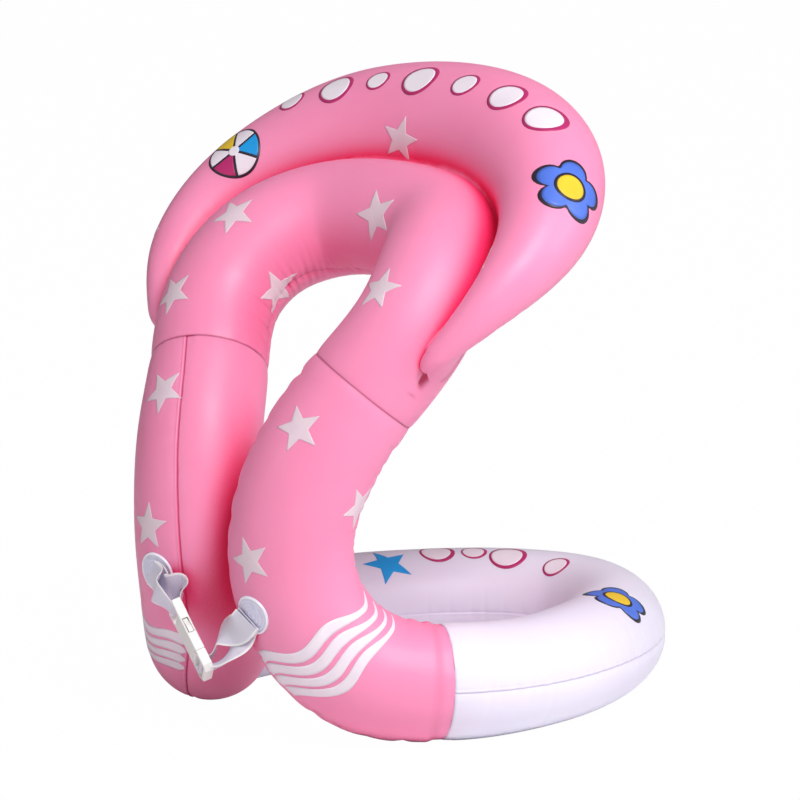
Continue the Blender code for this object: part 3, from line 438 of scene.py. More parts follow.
@dataclass
class Tuck:
    """A small sunken pocket where the end of a fold is drawn in, and a short wrinkle beyond it."""
    place: float
    turn: float
    depth: float = 4.5
    along: float = 5.5
    around: float = 3.2

    def shape(self, place, turn, radius):
        s, t = (place - self.place) / self.along, wrap(turn - self.turn) * radius / self.around
        pocket = np.exp(-np.abs(s) ** 3 - np.abs(t + 0.5 * s) ** 2.5)
        return pocket, bell(np.abs(place - self.place) - 2.4 * self.along, 0.9) * bell(t, 1.6)

    def height(self, place, turn, radius):
        pocket, wrinkle = self.shape(place, turn, radius)
        return -self.depth * pocket - 0.7 * wrinkle

    # Painted shade in the pocket and along the wrinkle, in the darker weld colour.
    def tint(self, place, turn, radius):
        return np.clip(0.4 * sum(self.shape(place, turn, radius)), 0, 1)


@dataclass
class RoundEnd:
    """The end of a chamber drawn together over a short length."""
    place: float
    length: float = 20
    depth: float = 7

    def height(self, place, turn, radius):
        s = np.clip(np.abs(place - self.place) / self.length, 0, 1)
        return -self.depth * (1 - np.sqrt(1 - (1 - s) ** 2))


class Swell:
    """Slow unevenness of a blown-up film."""

    def __init__(self, seed, size, length):
        draw = np.random.default_rng(seed)
        self.size = size
        self.waves = [(draw.uniform(0.6, 1.6) / length, draw.integers(1, 4), draw.uniform(0, 6.3))
                      for _ in range(5)]

    def height(self, place, turn, radius):
        total = sum(np.sin(2 * pi * rate * place + around * turn + phase)
                    for rate, around, phase in self.waves)
        return self.size * total / len(self.waves)


class Skin:
    """The film of one tube: a point for each place along its route and each turn about it."""

    def __init__(self, route, start, end, lead, relief, seat=None):
        self.start, self.end, self.relief, self.seat = start, end, relief, seat
        self.places = np.linspace(start, end, int((end - start) / TABLE_STEP) + 2)
        rows = route.at(self.places)
        self.centres, self.radii = rows[:, :3], rows[:, 3]
        tangents = route.tangents(self.places)
        leads = lead(self.places, tangents)
        leads = leads - tangents * (leads * tangents).sum(axis=1, keepdims=True)
        self.normals = unit(leads)
        self.sides = np.cross(tangents, self.normals)
        self.to_seat = np.linalg.norm(leads, axis=1) if seat else self.radii

    def read(self, table, place):
        return np.stack([np.interp(place, self.places, table[:, i]) for i in range(3)], axis=1)

    def radius(self, place):
        return np.interp(place, self.places, self.radii)

    def points(self, place, turn, lift=0.0):
        place, turn = (grid.ravel() for grid in np.broadcast_arrays(place, turn))
        radius = self.radius(place)
        touch = np.arccos(np.minimum(radius / np.interp(place, self.places, self.to_seat), 1))
        off_seat = pi - np.abs(wrap(turn))
        reach = radius / np.cos(np.maximum(touch - off_seat, 0))
        reach += MM * sum(detail.height(place / MM, turn, radius / MM) for detail in self.relief) + lift
        normal, side = unit(self.read(self.normals, place)), unit(self.read(self.sides, place))
        out = np.cos(turn)[:, None] * normal + np.sin(turn)[:, None] * side
        found = self.read(self.centres, place) + out * reach[:, None]
        if self.seat:
            self.seat.push_out(found, lift)
        sunk = found[:, 2]
        found[:, 2] = np.where(sunk < 3 * MM, (sunk + np.sqrt(sunk ** 2 + (0.5 * MM) ** 2)) / 2, sunk)
        return found

    def tints(self, place, turn):
        """How far the film takes the darker weld colour, from 0 to 1: along weld lines, and as painted shade
        in tuck pockets, on lap steps and in the grooves of the long seams.
        """
        place, turn = (grid.ravel() for grid in np.broadcast_arrays(place, turn))
        place, radius = place / MM, self.radius(place) / MM
        marks = [detail.tint(place, turn, radius) for detail in self.relief if hasattr(detail, "tint")]
        return np.clip(np.max(marks, axis=0), 0, 1)

    def push_out(self, found, lift):
        """Moves a neighbour's points that lie inside this tube out onto it."""
        centres, radii = self.centres[::3], self.radii[::3]
        for low in range(0, len(found), 4000):
            part = found[low:low + 4000]
            gaps = np.linalg.norm(part[:, None, :] - centres, axis=2)
            nearest, away = gaps.argmin(axis=1), gaps.min(axis=1)
            reach = radii[nearest] + 0.5 * MM + lift
            out = (part - centres[nearest]) / np.maximum(away, 1e-6)[:, None]
            inside = away < reach
            part[inside] = (centres[nearest] + out * reach[:, None])[inside]


def add_object(name, data):
    made = bpy.data.objects.new(name, data)
    SCENE.collection.objects.link(made)
    return made


def mesh_piece(name, points, faces, material, body="root", slot=None):
    mesh = bpy.data.meshes.new(name)
    mesh.from_pydata([tuple(p) for p in points], [], faces)
    mesh.update()
    mesh.shade_smooth()
    mesh.materials.append(material)
    piece = add_object(name, mesh)
    if body:
        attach(piece, body)
    return piece


def grid_faces(rows, columns, around, flip=False):
    """Quads of a grid of points, closed round its columns or open."""
    last = columns if around else columns - 1
    faces = [(i * columns + j, i * columns + (j + 1) % columns,
              (i + 1) * columns + (j + 1) % columns, (i + 1) * columns + j)
             for i in range(rows - 1) for j in range(last)]
    return [tuple(reversed(face)) for face in faces] if flip else faces


def tube_faces(rows, columns):
    """Quads round a closed tube, and a face at each end."""
    ends = [tuple(reversed(range(columns))), tuple(range((rows - 1) * columns, rows * columns))]
    return grid_faces(rows, columns, True) + ends


def film_rows(start, end):
    """Places along a chamber, close together beside the welds at its ends."""
    fine = np.arange(0, WELD_REACH, WELD_STEP)
    count = int((end - start - 2 * WELD_REACH) / FILM_STEP)
    plain = np.linspace(start + WELD_REACH, end - WELD_REACH, count)
    return np.concatenate([start + fine, plain, end - fine[::-1]])


def film_piece(name, skin, material, slot):
    """A closed tube of film along the whole of its skin."""
    places, even = film_rows(skin.start, skin.end), np.linspace(0, 2 * pi, FILM_SIDES, endpoint=False)
    turns = even - SEAM_CLUSTER * np.sin(2 * even) / 2
    points = skin.points(places[:, None], turns[None, :])
    piece = mesh_piece(name, points, tube_faces(len(places), FILM_SIDES), material, slot=slot)
    work = bmesh.new()
    work.from_mesh(piece.data)
    bmesh.ops.recalc_face_normals(work, faces=work.faces)
    work.to_mesh(piece.data)
    work.free()
    piece.data.shade_smooth()
    piece.data.set_sharp_from_angle(angle=radians(70))
    # The share of the darker weld colour: weld lines, and painted shade in tuck pockets, on lap steps and in
    # seam grooves.
    weld = piece.data.attributes.new("weld", "FLOAT", "POINT")
    weld.data.foreach_set("value", skin.tints(places[:, None], turns[None, :]))
    return piece


# Materials

def connect(tree, node, inputs):
    """Gives a node's inputs plain values or colours, or links them to other nodes' outputs."""
    for name, value in inputs.items():
        socket = node.inputs[name]
        if isinstance(value, bpy.types.NodeSocket):
            tree.links.new(value, socket)
        else:
            socket.default_value = (*value, 1) if socket.type == "RGBA" else value


def result(tree, kind, output, inputs, **settings):
    """One output of a new node."""
    node = tree.nodes.new("ShaderNode" + kind)
    for name, value in settings.items():
        setattr(node, name, value)
    connect(tree, node, inputs)
    return node.outputs[output]


def new_material(name, colour, roughness):
    made = bpy.data.materials.new(name)
    made.use_nodes = True
    shader = made.node_tree.nodes["Principled BSDF"]
    connect(made.node_tree, shader, {"Base Color": colour, "Roughness": roughness})
    return made, made.node_tree, shader


def noise(tree, scale, detail=3.0):
    """Noise in the part's own coordinates, so that it keeps its scale everywhere."""
    place = result(tree, "TexCoord", "Object", {})
    return result(tree, "TexNoise", "Fac", {"Scale": scale, "Detail": detail, "Vector": place})


def ranged(tree, value, start, end, low=0.0, high=1.0, **settings):
    """A value that goes from low to high while another goes from start to end."""
    inputs = {"Value": value, "From Min": start, "From Max": end, "To Min": low, "To Max": high}
    return result(tree, "MapRange", "Result", inputs, **settings)


def patchy(tree, scale, low=0.0, high=1.0):
    """Soft patches between two values."""
    return ranged(tree, noise(tree, scale), NOISE_LOW, NOISE_HIGH, low, high)


def mixed(tree, value, low, high):
    """A colour between two, which may be plain colours or other nodes' outputs."""
    return result(tree, "Mix", "Result", {"Factor": value, "A": low, "B": high}, data_type="RGBA")


def grained(tree, value, strength, distance):
    """The normal of a surface with this fine relief."""
    return result(tree, "Bump", "Normal", {"Strength": strength, "Distance": distance, "Height": value})


def translucent(weight, radius):
    return {"Subsurface Weight": weight, "Subsurface Radius": radius, "Subsurface Scale": 1.0}


def openness(tree, reach, closed, fully_open, alone):
    """How freely light reaches a point of the film, past all films or only past its own chamber."""
    fold = result(tree, "AmbientOcclusion", "AO", {"Distance": reach}, samples=8, only_local=alone)
    return ranged(tree, fold, closed, fully_open, interpolation_type="SMOOTHSTEP")


def film_material(name, light, dark, bend_shade_colour, fold_shade_colour, weld_and_shade_colour, roughness):
    """Soft calendered PVC film, with shade painted into its colour: deeper where ambient occlusion finds its
    own bends and facing films, in tuck pockets and on lap steps; darker also along its weld lines.
    """
    made, tree, shader = new_material(name, light, roughness)
    plain = mixed(tree, patchy(tree, 9.0), dark, light)
    # Painted shade: the colour deepens where the chamber's own bends close in on it, and more where another
    # film faces it.
    shaded = mixed(tree, openness(tree, *BEND_SHADE_AO, True), bend_shade_colour, plain)
    shaded = mixed(tree, openness(tree, *FOLD_SHADE_AO, False), fold_shade_colour, shaded)
    # Weld lines darken, and so do tuck pockets, lap steps and seam grooves, where this colour is painted
    # shade.
    weld = result(tree, "Attribute", "Fac", {}, attribute_name="weld")
    connect(tree, shader, {
        "Base Color": mixed(tree, weld, shaded, weld_and_shade_colour),
        "Roughness": patchy(tree, 35.0, roughness - 0.05, roughness + 0.05),
        "Normal": grained(tree, noise(tree, FILM_GRAIN, 2.0), 0.12, 0.00006),
        "Specular IOR Level": 0.38, "Coat Weight": 0.12, "Coat Roughness": 0.42,
        **translucent(0.25, (0.007, 0.005, 0.006))})
    return made


def ink_material(name, light, dark):
    """Printing ink on film."""
    made, tree, shader = new_material(name, light, INK_ROUGHNESS)
    connect(tree, shader, {
        "Base Color": mixed(tree, patchy(tree, 60.0), dark, light),
        "Normal": grained(tree, noise(tree, FILM_GRAIN, 2.0), 0.10, 0.00005)})
    return made


# Each film's colours: lit, darker patches, painted shade for its own bends, painted shade for facing films,
# and weld lines that also carry painted shade.
PINK_FILM = film_material("pink_film", (0.98, 0.305, 0.52), (0.96, 0.275, 0.48), (0.92, 0.10, 0.27),
                          (0.92, 0.032, 0.165), (0.43, 0.03, 0.12), 0.46)
WHITE_FILM = film_material("white_film", (0.84, 0.81, 0.95), (0.81, 0.77, 0.93), (0.81, 0.75, 0.97),
                           (0.76, 0.70, 0.93), (0.56, 0.51, 0.68), 0.42)
INKS = {name: ink_material(f"{name}_ink", light, dark) for name, light, dark in [
    ("star", (0.82, 0.66, 0.73), (0.78, 0.61, 0.69)), ("wave", (0.88, 0.80, 0.88), (0.84, 0.74, 0.84)),
    ("blue", (0.01, 0.36, 0.82), (0.01, 0.32, 0.78)), ("bubble", (0.90, 0.82, 0.90), (0.86, 0.77, 0.86)),
    ("edge", (0.50, 0.02, 0.16), (0.44, 0.02, 0.13)), ("dark", (0.02, 0.015, 0.03), (0.03, 0.02, 0.04)),
    ("petal", (0.09, 0.19, 0.72), (0.07, 0.16, 0.66)), ("yellow", (0.85, 0.58, 0.03), (0.80, 0.52, 0.02))]}


def webbing_material():
    """Milky woven tape: fine ribs across it, crossing threads along it and paler edges."""
    made, tree, shader = new_material("webbing", (0.80, 0.77, 0.90), 0.45)
    place = result(tree, "TexCoord", "UV", {})
    ribs = [result(tree, "TexWave", "Fac", {"Scale": pi / 10 / pitch, "Distortion": 0.25, "Vector": place},
                   bands_direction=axis) for axis, pitch in WEAVE_MM]
    both = result(tree, "Math", 0, dict(enumerate(ribs)), operation="MULTIPLY")
    across = result(tree, "SeparateXYZ", "X", {0: place})
    aside = result(tree, "Math", 0, {0: across}, operation="ABSOLUTE")
    woven = mixed(tree, both, (0.70, 0.67, 0.82), (0.86, 0.83, 0.95))
    connect(tree, shader, {
        "Base Color": mixed(tree, ranged(tree, aside, *SELVEDGE_MM), woven, (0.98, 0.97, 1.0)),
        "Normal": grained(tree, both, 0.5, 0.00015), **translucent(0.3, (0.003, 0.003, 0.004))})
    return made


def plastic_material(name, light, dark, roughness, fine, rim=None):
    """Moulded plastic with a faint spark-eroded grain, and a paler rim where its mesh has one."""
    made, tree, shader = new_material(name, light, roughness)
    colour = mixed(tree, patchy(tree, 40.0), dark, light)
    if rim:
        colour = mixed(tree, result(tree, "Attribute", "Fac", {}, attribute_name="rim"), colour, rim)
    connect(tree, shader, {
        "Base Color": colour,
        "Roughness": patchy(tree, 150.0, roughness - 0.06, roughness + 0.06),
        "Normal": grained(tree, noise(tree, fine, 2.0), 0.15, 0.00004),
        **translucent(0.1, (0.002, 0.002, 0.002))})
    return made


WEBBING = webbing_material()
PATCH_VINYL = plastic_material("patch_vinyl", (0.78, 0.77, 0.96), (0.70, 0.69, 0.89), 0.30, 900.0,
                               (0.96, 0.95, 1.0))
BUCKLE_PLASTIC = plastic_material("buckle_plastic", (0.90, 0.89, 0.87), (0.86, 0.85, 0.83), 0.36, 2200.0)
VALVE_VINYL = plastic_material("valve_vinyl", (0.80, 0.80, 0.86), (0.74, 0.74, 0.81), 0.28, 900.0)


# Film chambers

def marks_mm(*names):
    return [MARK[name] / MM for name in names]


def leg_relief(side, seed):
    """Seams, creases and the drawn-in ends of one front tube; side is -1 on the left."""
    low, high = marks_mm("left_weld", "left_seam") if side < 0 else marks_mm("right_seam", "right_weld")
    weld, colour, limb = (low, high, 0.8) if side < 0 else (high, low, 4.2)
    return [
        SeamLip(0), SeamLip(pi),
        SeamCreases(seed, low + 30, high - 20, 0, 15, limb, 3.0, 8),
        SeamCreases(seed + 1, low + 20, high - 20, pi, 11, 2.6, 3.0, 10),
        Pinch(weld), Lap(colour),
        WeldCreases(seed + 2, weld, 40, 0.5, 1.6, 9), WeldCreases(seed + 3, colour, 34, 0.7, 2.2, 12),
        Swell(seed + 4, 0.5, 120)]


def arch_relief():
    low, high = marks_mm("right_weld", "far_left_weld")
    return [
        SeamLip(ARCH_SEAM_TURN, 1.0), SeamCreases(31, low + 15, high - 15, ARCH_SEAM_TURN, 9, 2.2, 2.4, 11),
        Tuck(low + TUCK_PLACE, TUCK_TURN), Tuck(high - TUCK_PLACE, TUCK_TURN), Pinch(low), Pinch(high),
        WeldCreases(32, low, 40, 0.5, 1.6, 9), WeldCreases(33, high, 40, 0.5, 1.6, 9), Swell(34, 0.4, 140)]


def ring_relief():
    low, high = marks_mm("left_seam", "right_seam")
    return [
        SeamLip(0, 0.35, 0.4, 0.3), SeamLip(pi, 0.6, 0.7, 0.5),
        SeamCreases(41, low + 20, high - 20, 0, 21, 0.7, 3, 8),
        SeamCreases(42, low + 20, high - 20, pi, 9, 1.8, 2.6, 12),
        Pinch(low, 1.6, 7), Pinch(high, 1.6, 7),
        WeldCreases(43, low, 34, 0.5, 2.2, 12), WeldCreases(44, high, 34, 0.5, 2.2, 12), Swell(45, 0.4, 150)]


def collar_relief():
    end = CRESCENT.marks[-1] / MM
    return [
        SeamLip(COLLAR_SEAM_TURN), SeamCreases(51, 60, end - 60, COLLAR_SEAM_TURN, 14, 1.2, 3.5, 10),
        SeamCreases(52, 10, end - 10, pi, 12, 1.6, 3.0, 12),
        RoundEnd(0), RoundEnd(end), Swell(54, 0.6, 160)]


def build_skins():
    right_lead = turning(
        right_seam=(0.2, 0.1, -1), right_heel=(0.1, -0.4, -1), right_shin=(-0.5, -0.85, -0.25),
        right_chest=(-0.66, -0.75, 0), right_weld=(-0.72, -0.69, 0))
    left_lead = turning(
        left_weld=(0.42, -0.90, 0), left_chest=(0.50, -0.86, 0), left_shin=(0.56, -0.82, -0.2),
        left_heel=(-0.1, -0.4, -1), left_seam=(-0.2, 0.1, -1))
    outward, into_hole = square_to((0, 0, -1)), square_to(ARCH_PLANE_NORMAL)
    arch = Skin(LOOP, MARK["right_weld"], MARK["far_left_weld"], into_hole, arch_relief())
    return {
        "body_ring": Skin(LOOP, MARK["left_seam"], MARK["right_seam"], outward, ring_relief()),
        "front_tube_right": Skin(LOOP, MARK["right_seam"], MARK["right_weld"], right_lead, leg_relief(1, 11)),
        "front_tube_left": Skin(LOOP, MARK["left_weld"], MARK["left_seam"], left_lead, leg_relief(-1, 21)),
        "neck_arch": arch,
        "head_collar": Skin(CRESCENT, 0, CRESCENT.marks[-1], away_from_seat, collar_relief(), arch)}


def build_chambers():
    pieces = {}
    for node, skin in SKINS.items():
        material, slot = (WHITE_FILM, "white_film") if node == "body_ring" else (PINK_FILM, "pink_film")
        pieces[node] = film_piece(node + "_film", skin, material, slot)
        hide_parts(node)
    return pieces


def build_fold_strips():
    """Strips of film along both sides of the collar's weld; behind its tails they are gussets."""
    skin, arch, tree = SKINS["head_collar"], SKINS["neck_arch"], FILMS.trees["neck_arch"]
    places = np.arange(2 * MM, skin.end - 2 * MM, FOLD_STEP)
    offsets = np.radians(np.arange(4, 150, 3))
    for side, name in ((-1, "front"), (1, "rear")):
        rows = []
        for place in places:
            to_end = min(place, skin.end - place)
            tail = max(0, 1 - to_end / TAIL_REACH) ** 0.7 if side > 0 else 0
            film = list(map(Vector, skin.points(place, pi - side * offsets)))
            gaps = np.array([tree.find_nearest(point)[3] for point in film])
            k, near = (np.argmax(gaps >= min(FOLD_GAP, gaps.max()) * share) for share in (1, 0.25))
            inner = (film[near] + tree.find_nearest(film[near])[0]) / 2
            outer = tree.find_nearest(film[k] + (film[k] - inner) * 0.15)[0]
            start = film[k]
            if tail:
                weld = -1 if place < skin.end / 2 else 1
                nearest = np.linalg.norm(arch.centres - np.array(outer), axis=1).argmin()
                along = arch.places[nearest] + weld * TAIL_RUN * exp(-to_end / TAIL_RUN)
                limb = Vector(arch.points(along, pi + TAIL_TURN * tail)[0])
                pull = min(1, 1.6 * tail)
                start = start.lerp(film[np.abs(offsets - TAIL_OFFSET).argmin()], pull)
                outer = outer.lerp(limb, pull)
                inner = inner.lerp((start + outer) / 2, pull)
            rows.append([list(start * (1 - t) ** 2 + inner * 2 * t * (1 - t) + outer * t ** 2)
                         for t in np.linspace(0, 1, 9)])
        rows = np.array(rows)
        for _ in range(2):
            rows[1:-1] = (rows[:-2] + 2 * rows[1:-1] + rows[2:]) / 4
        faces = grid_faces(len(rows), rows.shape[1], False, side > 0)
        mesh_piece(f"collar_fold_{name}", rows.reshape(-1, 3), faces, PINK_FILM, slot="pink_film")


# Prints on the film

class Films:
    """The outer faces of the chambers, for laying prints and patches on them."""

    def __init__(self, pieces):
        self.trees = {node: BVHTree.FromPolygons([vertex.co for vertex in piece.data.vertices],
                                                 [tuple(face.vertices) for face in piece.data.polygons])
                      for node, piece in pieces.items()}

    def seen(self, pixel):
        """The chamber, the point and the outward direction that a pixel of the photograph shows."""
        hits = [(tree.ray_cast(PHOTO_PLACE, photo_ray(*pixel)), node) for node, tree in self.trees.items()]
        (point, out, _, _), node = min((h for h in hits if h[0][0]), key=lambda hit: hit[0][3])
        return node, point, out

    def under(self, node, point, out, lift):
        """The film below a point, lifted a little."""
        found, normal, _, _ = self.trees[node].ray_cast(point + out * PROBE, -out, 2 * PROBE)
        if found is None:
            found, normal, _, _ = self.trees[node].find_nearest(point)
        return found + normal * lift


def edge_points(corners, counts):
    """Points along the edges of a closed outline, with this count for each edge."""
    return [tuple(a * (1 - share) + b * share for a, b in zip(corner, after))
            for corner, after, count in zip(corners, corners[1:] + corners[:1], counts)
            for share in np.linspace(0, 1, count, endpoint=False)]


def polar(points):
    return [(reach * cos(turn), reach * sin(turn)) for reach, turn in points]


def star_outline(size):
    reaches = [size, size * STAR_WAIST] * 5
    return edge_points(polar((r, pi / 2 + pi * k / 5) for k, r in enumerate(reaches)), [6] * 10)


def petal_outline(size, petals=0, depth=0.0):
    """A disc, or a flower with round petals."""
    turns = np.linspace(0, 2 * pi, 72, endpoint=False)
    reach = size * (1 - depth + depth * np.abs(np.cos(petals * turns / 2)) ** 0.7)
    return list(zip(reach * np.cos(turns), reach * np.sin(turns)))


def panel_outline(size, turn, middle):
    """One panel of a ball: a sector about the direction turn, measured from a point inside it."""
    half = pi / len(BALL_PANELS) - 0.05
    corners = polar([(size * 0.1, turn)] + [(size, turn + a) for a in np.linspace(-half, half, 13)])
    outline = edge_points(corners, [8] + [1] * (len(corners) - 2) + [8])
    return [(x - middle * cos(turn), y - middle * sin(turn)) for x, y in outline]


def lay_print(name, spot, tip, outline, ink, layer=0):
    """An inked shape that follows the film round a spot, its +Y towards the tip."""
    node, point, out = spot
    upward = (tip - out * tip.dot(out)).normalized()
    across = upward.cross(out)
    lift = PRINT_LIFT + layer * PRINT_LAYER
    rings = [(share, lift) for share in np.linspace(0, 1, PRINT_RINGS + 1)[1:]] + [(1.0, -PRINT_SKIRT)]
    points = [FILMS.under(node, point, out, lift)]
    for share, height in rings:
        points += [FILMS.under(node, point + (across * x + upward * y) * share, out, height)
                   for x, y in outline]
    count = len(outline)
    faces = [(0, 1 + k, 1 + (k + 1) % count) for k in range(count)]
    faces += [tuple(1 + k for k in face) for face in grid_faces(PRINT_RINGS + 1, count, True, True)]
    mesh_piece(name, points, faces, INKS[ink], slot="white_film" if node == "body_ring" else "pink_film")


def shown_star(name, pixel, tip, size, ink):
    """A star at one pixel of the photograph, with a tip towards another, as seen along the film."""
    spot = _, _, out = FILMS.seen(pixel)
    shown, ray = RIGHT * (tip[0] - pixel[0]) - UP * (tip[1] - pixel[1]), photo_ray(*pixel)
    lay_print(name, spot, shown - ray * (shown.dot(out) / ray.dot(out)), star_outline(size), ink)


def build_stars():
    for k, (pixel, tip, share) in enumerate(PHOTO_STARS):
        shown_star(f"star_{k:02d}", pixel, tip, STAR_SIZE * share, "star")
    hidden = [(node, *star) for node, stars in HIDDEN_STARS.items() for star in stars]
    for k, (node, share, turn, lean) in enumerate(hidden):
        skin = SKINS[node]
        size, ink = (BLUE_STAR_SIZE, "blue") if node == "body_ring" else (STAR_SIZE, "star")
        point = skin.points(skin.start + (skin.end - skin.start) * share, radians(turn))[0]
        found, out, _, _ = FILMS.trees[node].find_nearest(Vector(point))
        toward = Vector((sin(radians(lean)), 0.2, cos(radians(lean))))
        lay_print(f"star_back_{k:02d}", (node, found, out), toward, star_outline(size), ink)
    shown_star("blue_star", *BLUE_STAR, BLUE_STAR_SIZE, "blue")


def build_motifs():
    """Plain bubbles and flowers, and a striped ball."""
    # Each layer: its share of the size, its ink, its petals and their depth, and its shift up and left
    bubble = ((1.0, "edge", 0, 0, 0), (0.82, "bubble", 0, 0, 0.06))
    flower = ((1.0, "dark", 5, 0.34, 0), (0.90, "petal", 5, 0.36, 0), (0.46, "dark", 0, 0, 0),
              (0.38, "yellow", 0, 0, 0))
    for name, motifs, layers, lean in (("bubble", BUBBLES, bubble, 0), ("flower", FLOWERS, flower, 0.2)):
        for k, (pixel, size) in enumerate(motifs):
            node, point, out = FILMS.seen(pixel)
            for layer, (share, ink, petals, depth, shift) in enumerate(layers):
                spot = (node, point + (UP - RIGHT) * size * shift, out)
                lay_print(f"{name}_{k:02d}_{layer}", spot, UP + RIGHT * lean,
                          petal_outline(size * share, petals, depth), ink, layer)
    pixel, size = BALL
    spot = node, point, out = FILMS.seen(pixel)
    lay_print("ball_edge", spot, UP, petal_outline(size), "dark")
    upward = (UP - out * UP.dot(out)).normalized()
    across = upward.cross(out)
    for k, ink in enumerate(BALL_PANELS):
        turn = radians(20 + 360 / len(BALL_PANELS) * k)
        middle = (across * cos(turn) + upward * sin(turn)) * size * BALL_PANEL_MIDDLE
        outline = panel_outline(size * 0.92, turn, size * BALL_PANEL_MIDDLE)
        lay_print(f"ball_panel_{k}", (node, point + middle, out), UP, outline, ink, 1)
    lay_print("ball_cap", spot, UP, petal_outline(size * 0.2), "bubble", 2)


def wave_place(k, turn):
    """How far a wave's middle line is from the colour weld, at each turn about the leg in degrees."""
    start, end = WAVE_START - WAVE_START_STEP * k, WAVE_END - WAVE_END_STEP * k
    along = start + (end - start) * (turn - 15) / 120 + UPTURN * np.clip((turn - 132) / 22, 0, 1) ** 2
    return along + WAVE_HEIGHT * np.cos(np.radians((turn - 95) * 360 / 75))


def wave_width(turn):
    middle = (7.3 + 4.2 * bell(turn - 98, 20) + 1.4 * bell(turn - 62, 22)) * MM
    return middle * np.sqrt(np.clip((turn - 2) / 6, 0, 1)) * np.clip((156 - turn) / 24, 0, 1) ** 0.6


def build_waves():
    """Four wavy stripes round the outside of each heel."""
    turns = np.linspace(2, 156, 110)
    for node, weld, way in (("front_tube_right", "right_seam", 1), ("front_tube_left", "left_seam", -1)):
        for k in range(4):
            middle, half = wave_place(k, turns), wave_width(turns) / 2
            lifts = [-PRINT_SKIRT, *[PRINT_LIFT + PRINT_LAYER * k / 4] * 5, -PRINT_SKIRT]
            places = [MARK[weld] + way * (middle + share * half) for share in (-1, -1, -0.5, 0, 0.5, 1, 1)]
            points = [SKINS[node].points(along, np.radians(turns), lift)
                      for along, lift in zip(places, lifts)]
            grid = np.stack(points, axis=1).reshape(-1, 3)
            faces = grid_faces(len(turns), len(lifts), False, way > 0)
            mesh_piece(f"{node}_wave_{k}", grid, faces, INKS["wave"], slot="pink_film")


# Patches and webbing

def frame_matrix(origin, axis, side):
    """Local Z along axis and local X towards side, at origin."""
    z = Vector(axis).normalized()
    x = Vector(side)
    x = (x - z * x.dot(z)).normalized()
    matrix = Matrix((x, z.cross(x), z)).transposed().to_4x4()
    matrix.translation = Vector(origin)
    return matrix


def patch_frame(side, height, turn):
    """A frame on the front of a leg, its origin at this height: Z out of the film, X level."""
    places = np.linspace(*sorted((MARK[side + "_chest"], MARK[side + "_heel"])), 120)
    rows, along = LOOP.at(places), LOOP.tangents(places)
    out = np.tile((sin(radians(turn)), -1.0, 0.0), (len(places), 1))
    out = unit(out - along * (out * along).sum(axis=1, keepdims=True))
    origins = rows[:, :3] + out * rows[:, 3:]
    k = int(np.abs(origins[:, 2] - height * MM).argmin())
    return frame_matrix(origins[k], out[k], (1, 0, 0))


def build_patch(name, node, frame):
    """A round vinyl patch with the rings of its weld, laid on the film."""
    across, upward, out = (frame.to_3x3() @ Vector(axis) for axis in ((1, 0, 0), (0, 1, 0), (0, 0, 1)))
    ways = [across * cos(turn) + upward * sin(turn) for turn in np.linspace(0, 2 * pi, 96, endpoint=False)]
    points, pale, shares = [], [], np.linspace(0.02, 1, 56)
    for share in shares:
        radius = share * PATCH_RADIUS
        ring = PATCH_RING_HEIGHT * cos(2 * pi * radius / PATCH_RING_STEP)
        rim = PATCH_RIM_HEIGHT * bell(radius - PATCH_RADIUS + 1.4, 0.7)
        edge = sqrt(max(0.0, 1 - ((share - 0.95) / 0.05) ** 2)) if share > 0.95 else 1.0
        pale += [min(1, 1.3 * rim / PATCH_RIM_HEIGHT + max(0, 0.3 * ring / PATCH_RING_HEIGHT))] * len(ways)
        lift = (PATCH_THICKNESS + ring + rim) * edge * MM - PRINT_SKIRT * (1 - edge)
        points += [FILMS.under(node, frame.translation + way * radius * MM, out, lift) for way in ways]
    faces = grid_faces(len(shares), len(ways), True, True) + [tuple(range(len(ways)))]
    piece = mesh_piece(name + "_vinyl", points, faces, PATCH_VINYL, slot="clear_vinyl")
    piece.data.attributes.new("rim", "FLOAT", "POINT").data.foreach_set("value", pale)
    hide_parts(name)


def local_section(frame, x, y, z, width=(1, 0, 0)):
    """A webbing section at a place in the buckle's frame."""
    return frame @ Vector((x * MM, y * MM, z * MM)), frame.to_3x3() @ Vector(width)


def patch_section(patch, heading, along, lift, aside=0):
    """A webbing section over a patch: along its heading from the centre, lifted off the film."""
    turn = radians(heading + aside)
    forward, width = Vector((cos(turn), sin(turn), 0)), Vector((-sin(turn), cos(turn), 0))
    return patch @ (forward * along * MM + Vector((0, 0, lift * MM))), patch.to_3x3() @ width


def left_sections(buckle, patch):
    at, on = partial(local_section, buckle), partial(patch_section, patch, HEADING_LEFT)
    reach = BAR_RADIUS + 0.3 + WEBBING_THICKNESS
    turns = np.radians((-90, -45, 0, 45, 90))
    return [
        on(-2, UPPER_LEVEL + 0.3), on(8, UPPER_LEVEL + 2),
        at(0, -9, SOCKET_BAR + 20, (0.82, 0.26, 0.34)), at(0, -reach - 0.5, SOCKET_BAR + 3),
        *[at(0, sin(turn) * reach, SOCKET_BAR - cos(turn) * reach) for turn in turns],
        at(0, reach + 1.5, SOCKET_BAR + 2.5), at(3, reach + 8, SOCKET_BAR + 13, (0.80, 0.25, 0.45)),
        on(PATCH_RADIUS + 1.5, LOWER_LEVEL + 3.5), on(9, LOWER_LEVEL + 0.5), on(0, LOWER_LEVEL)]


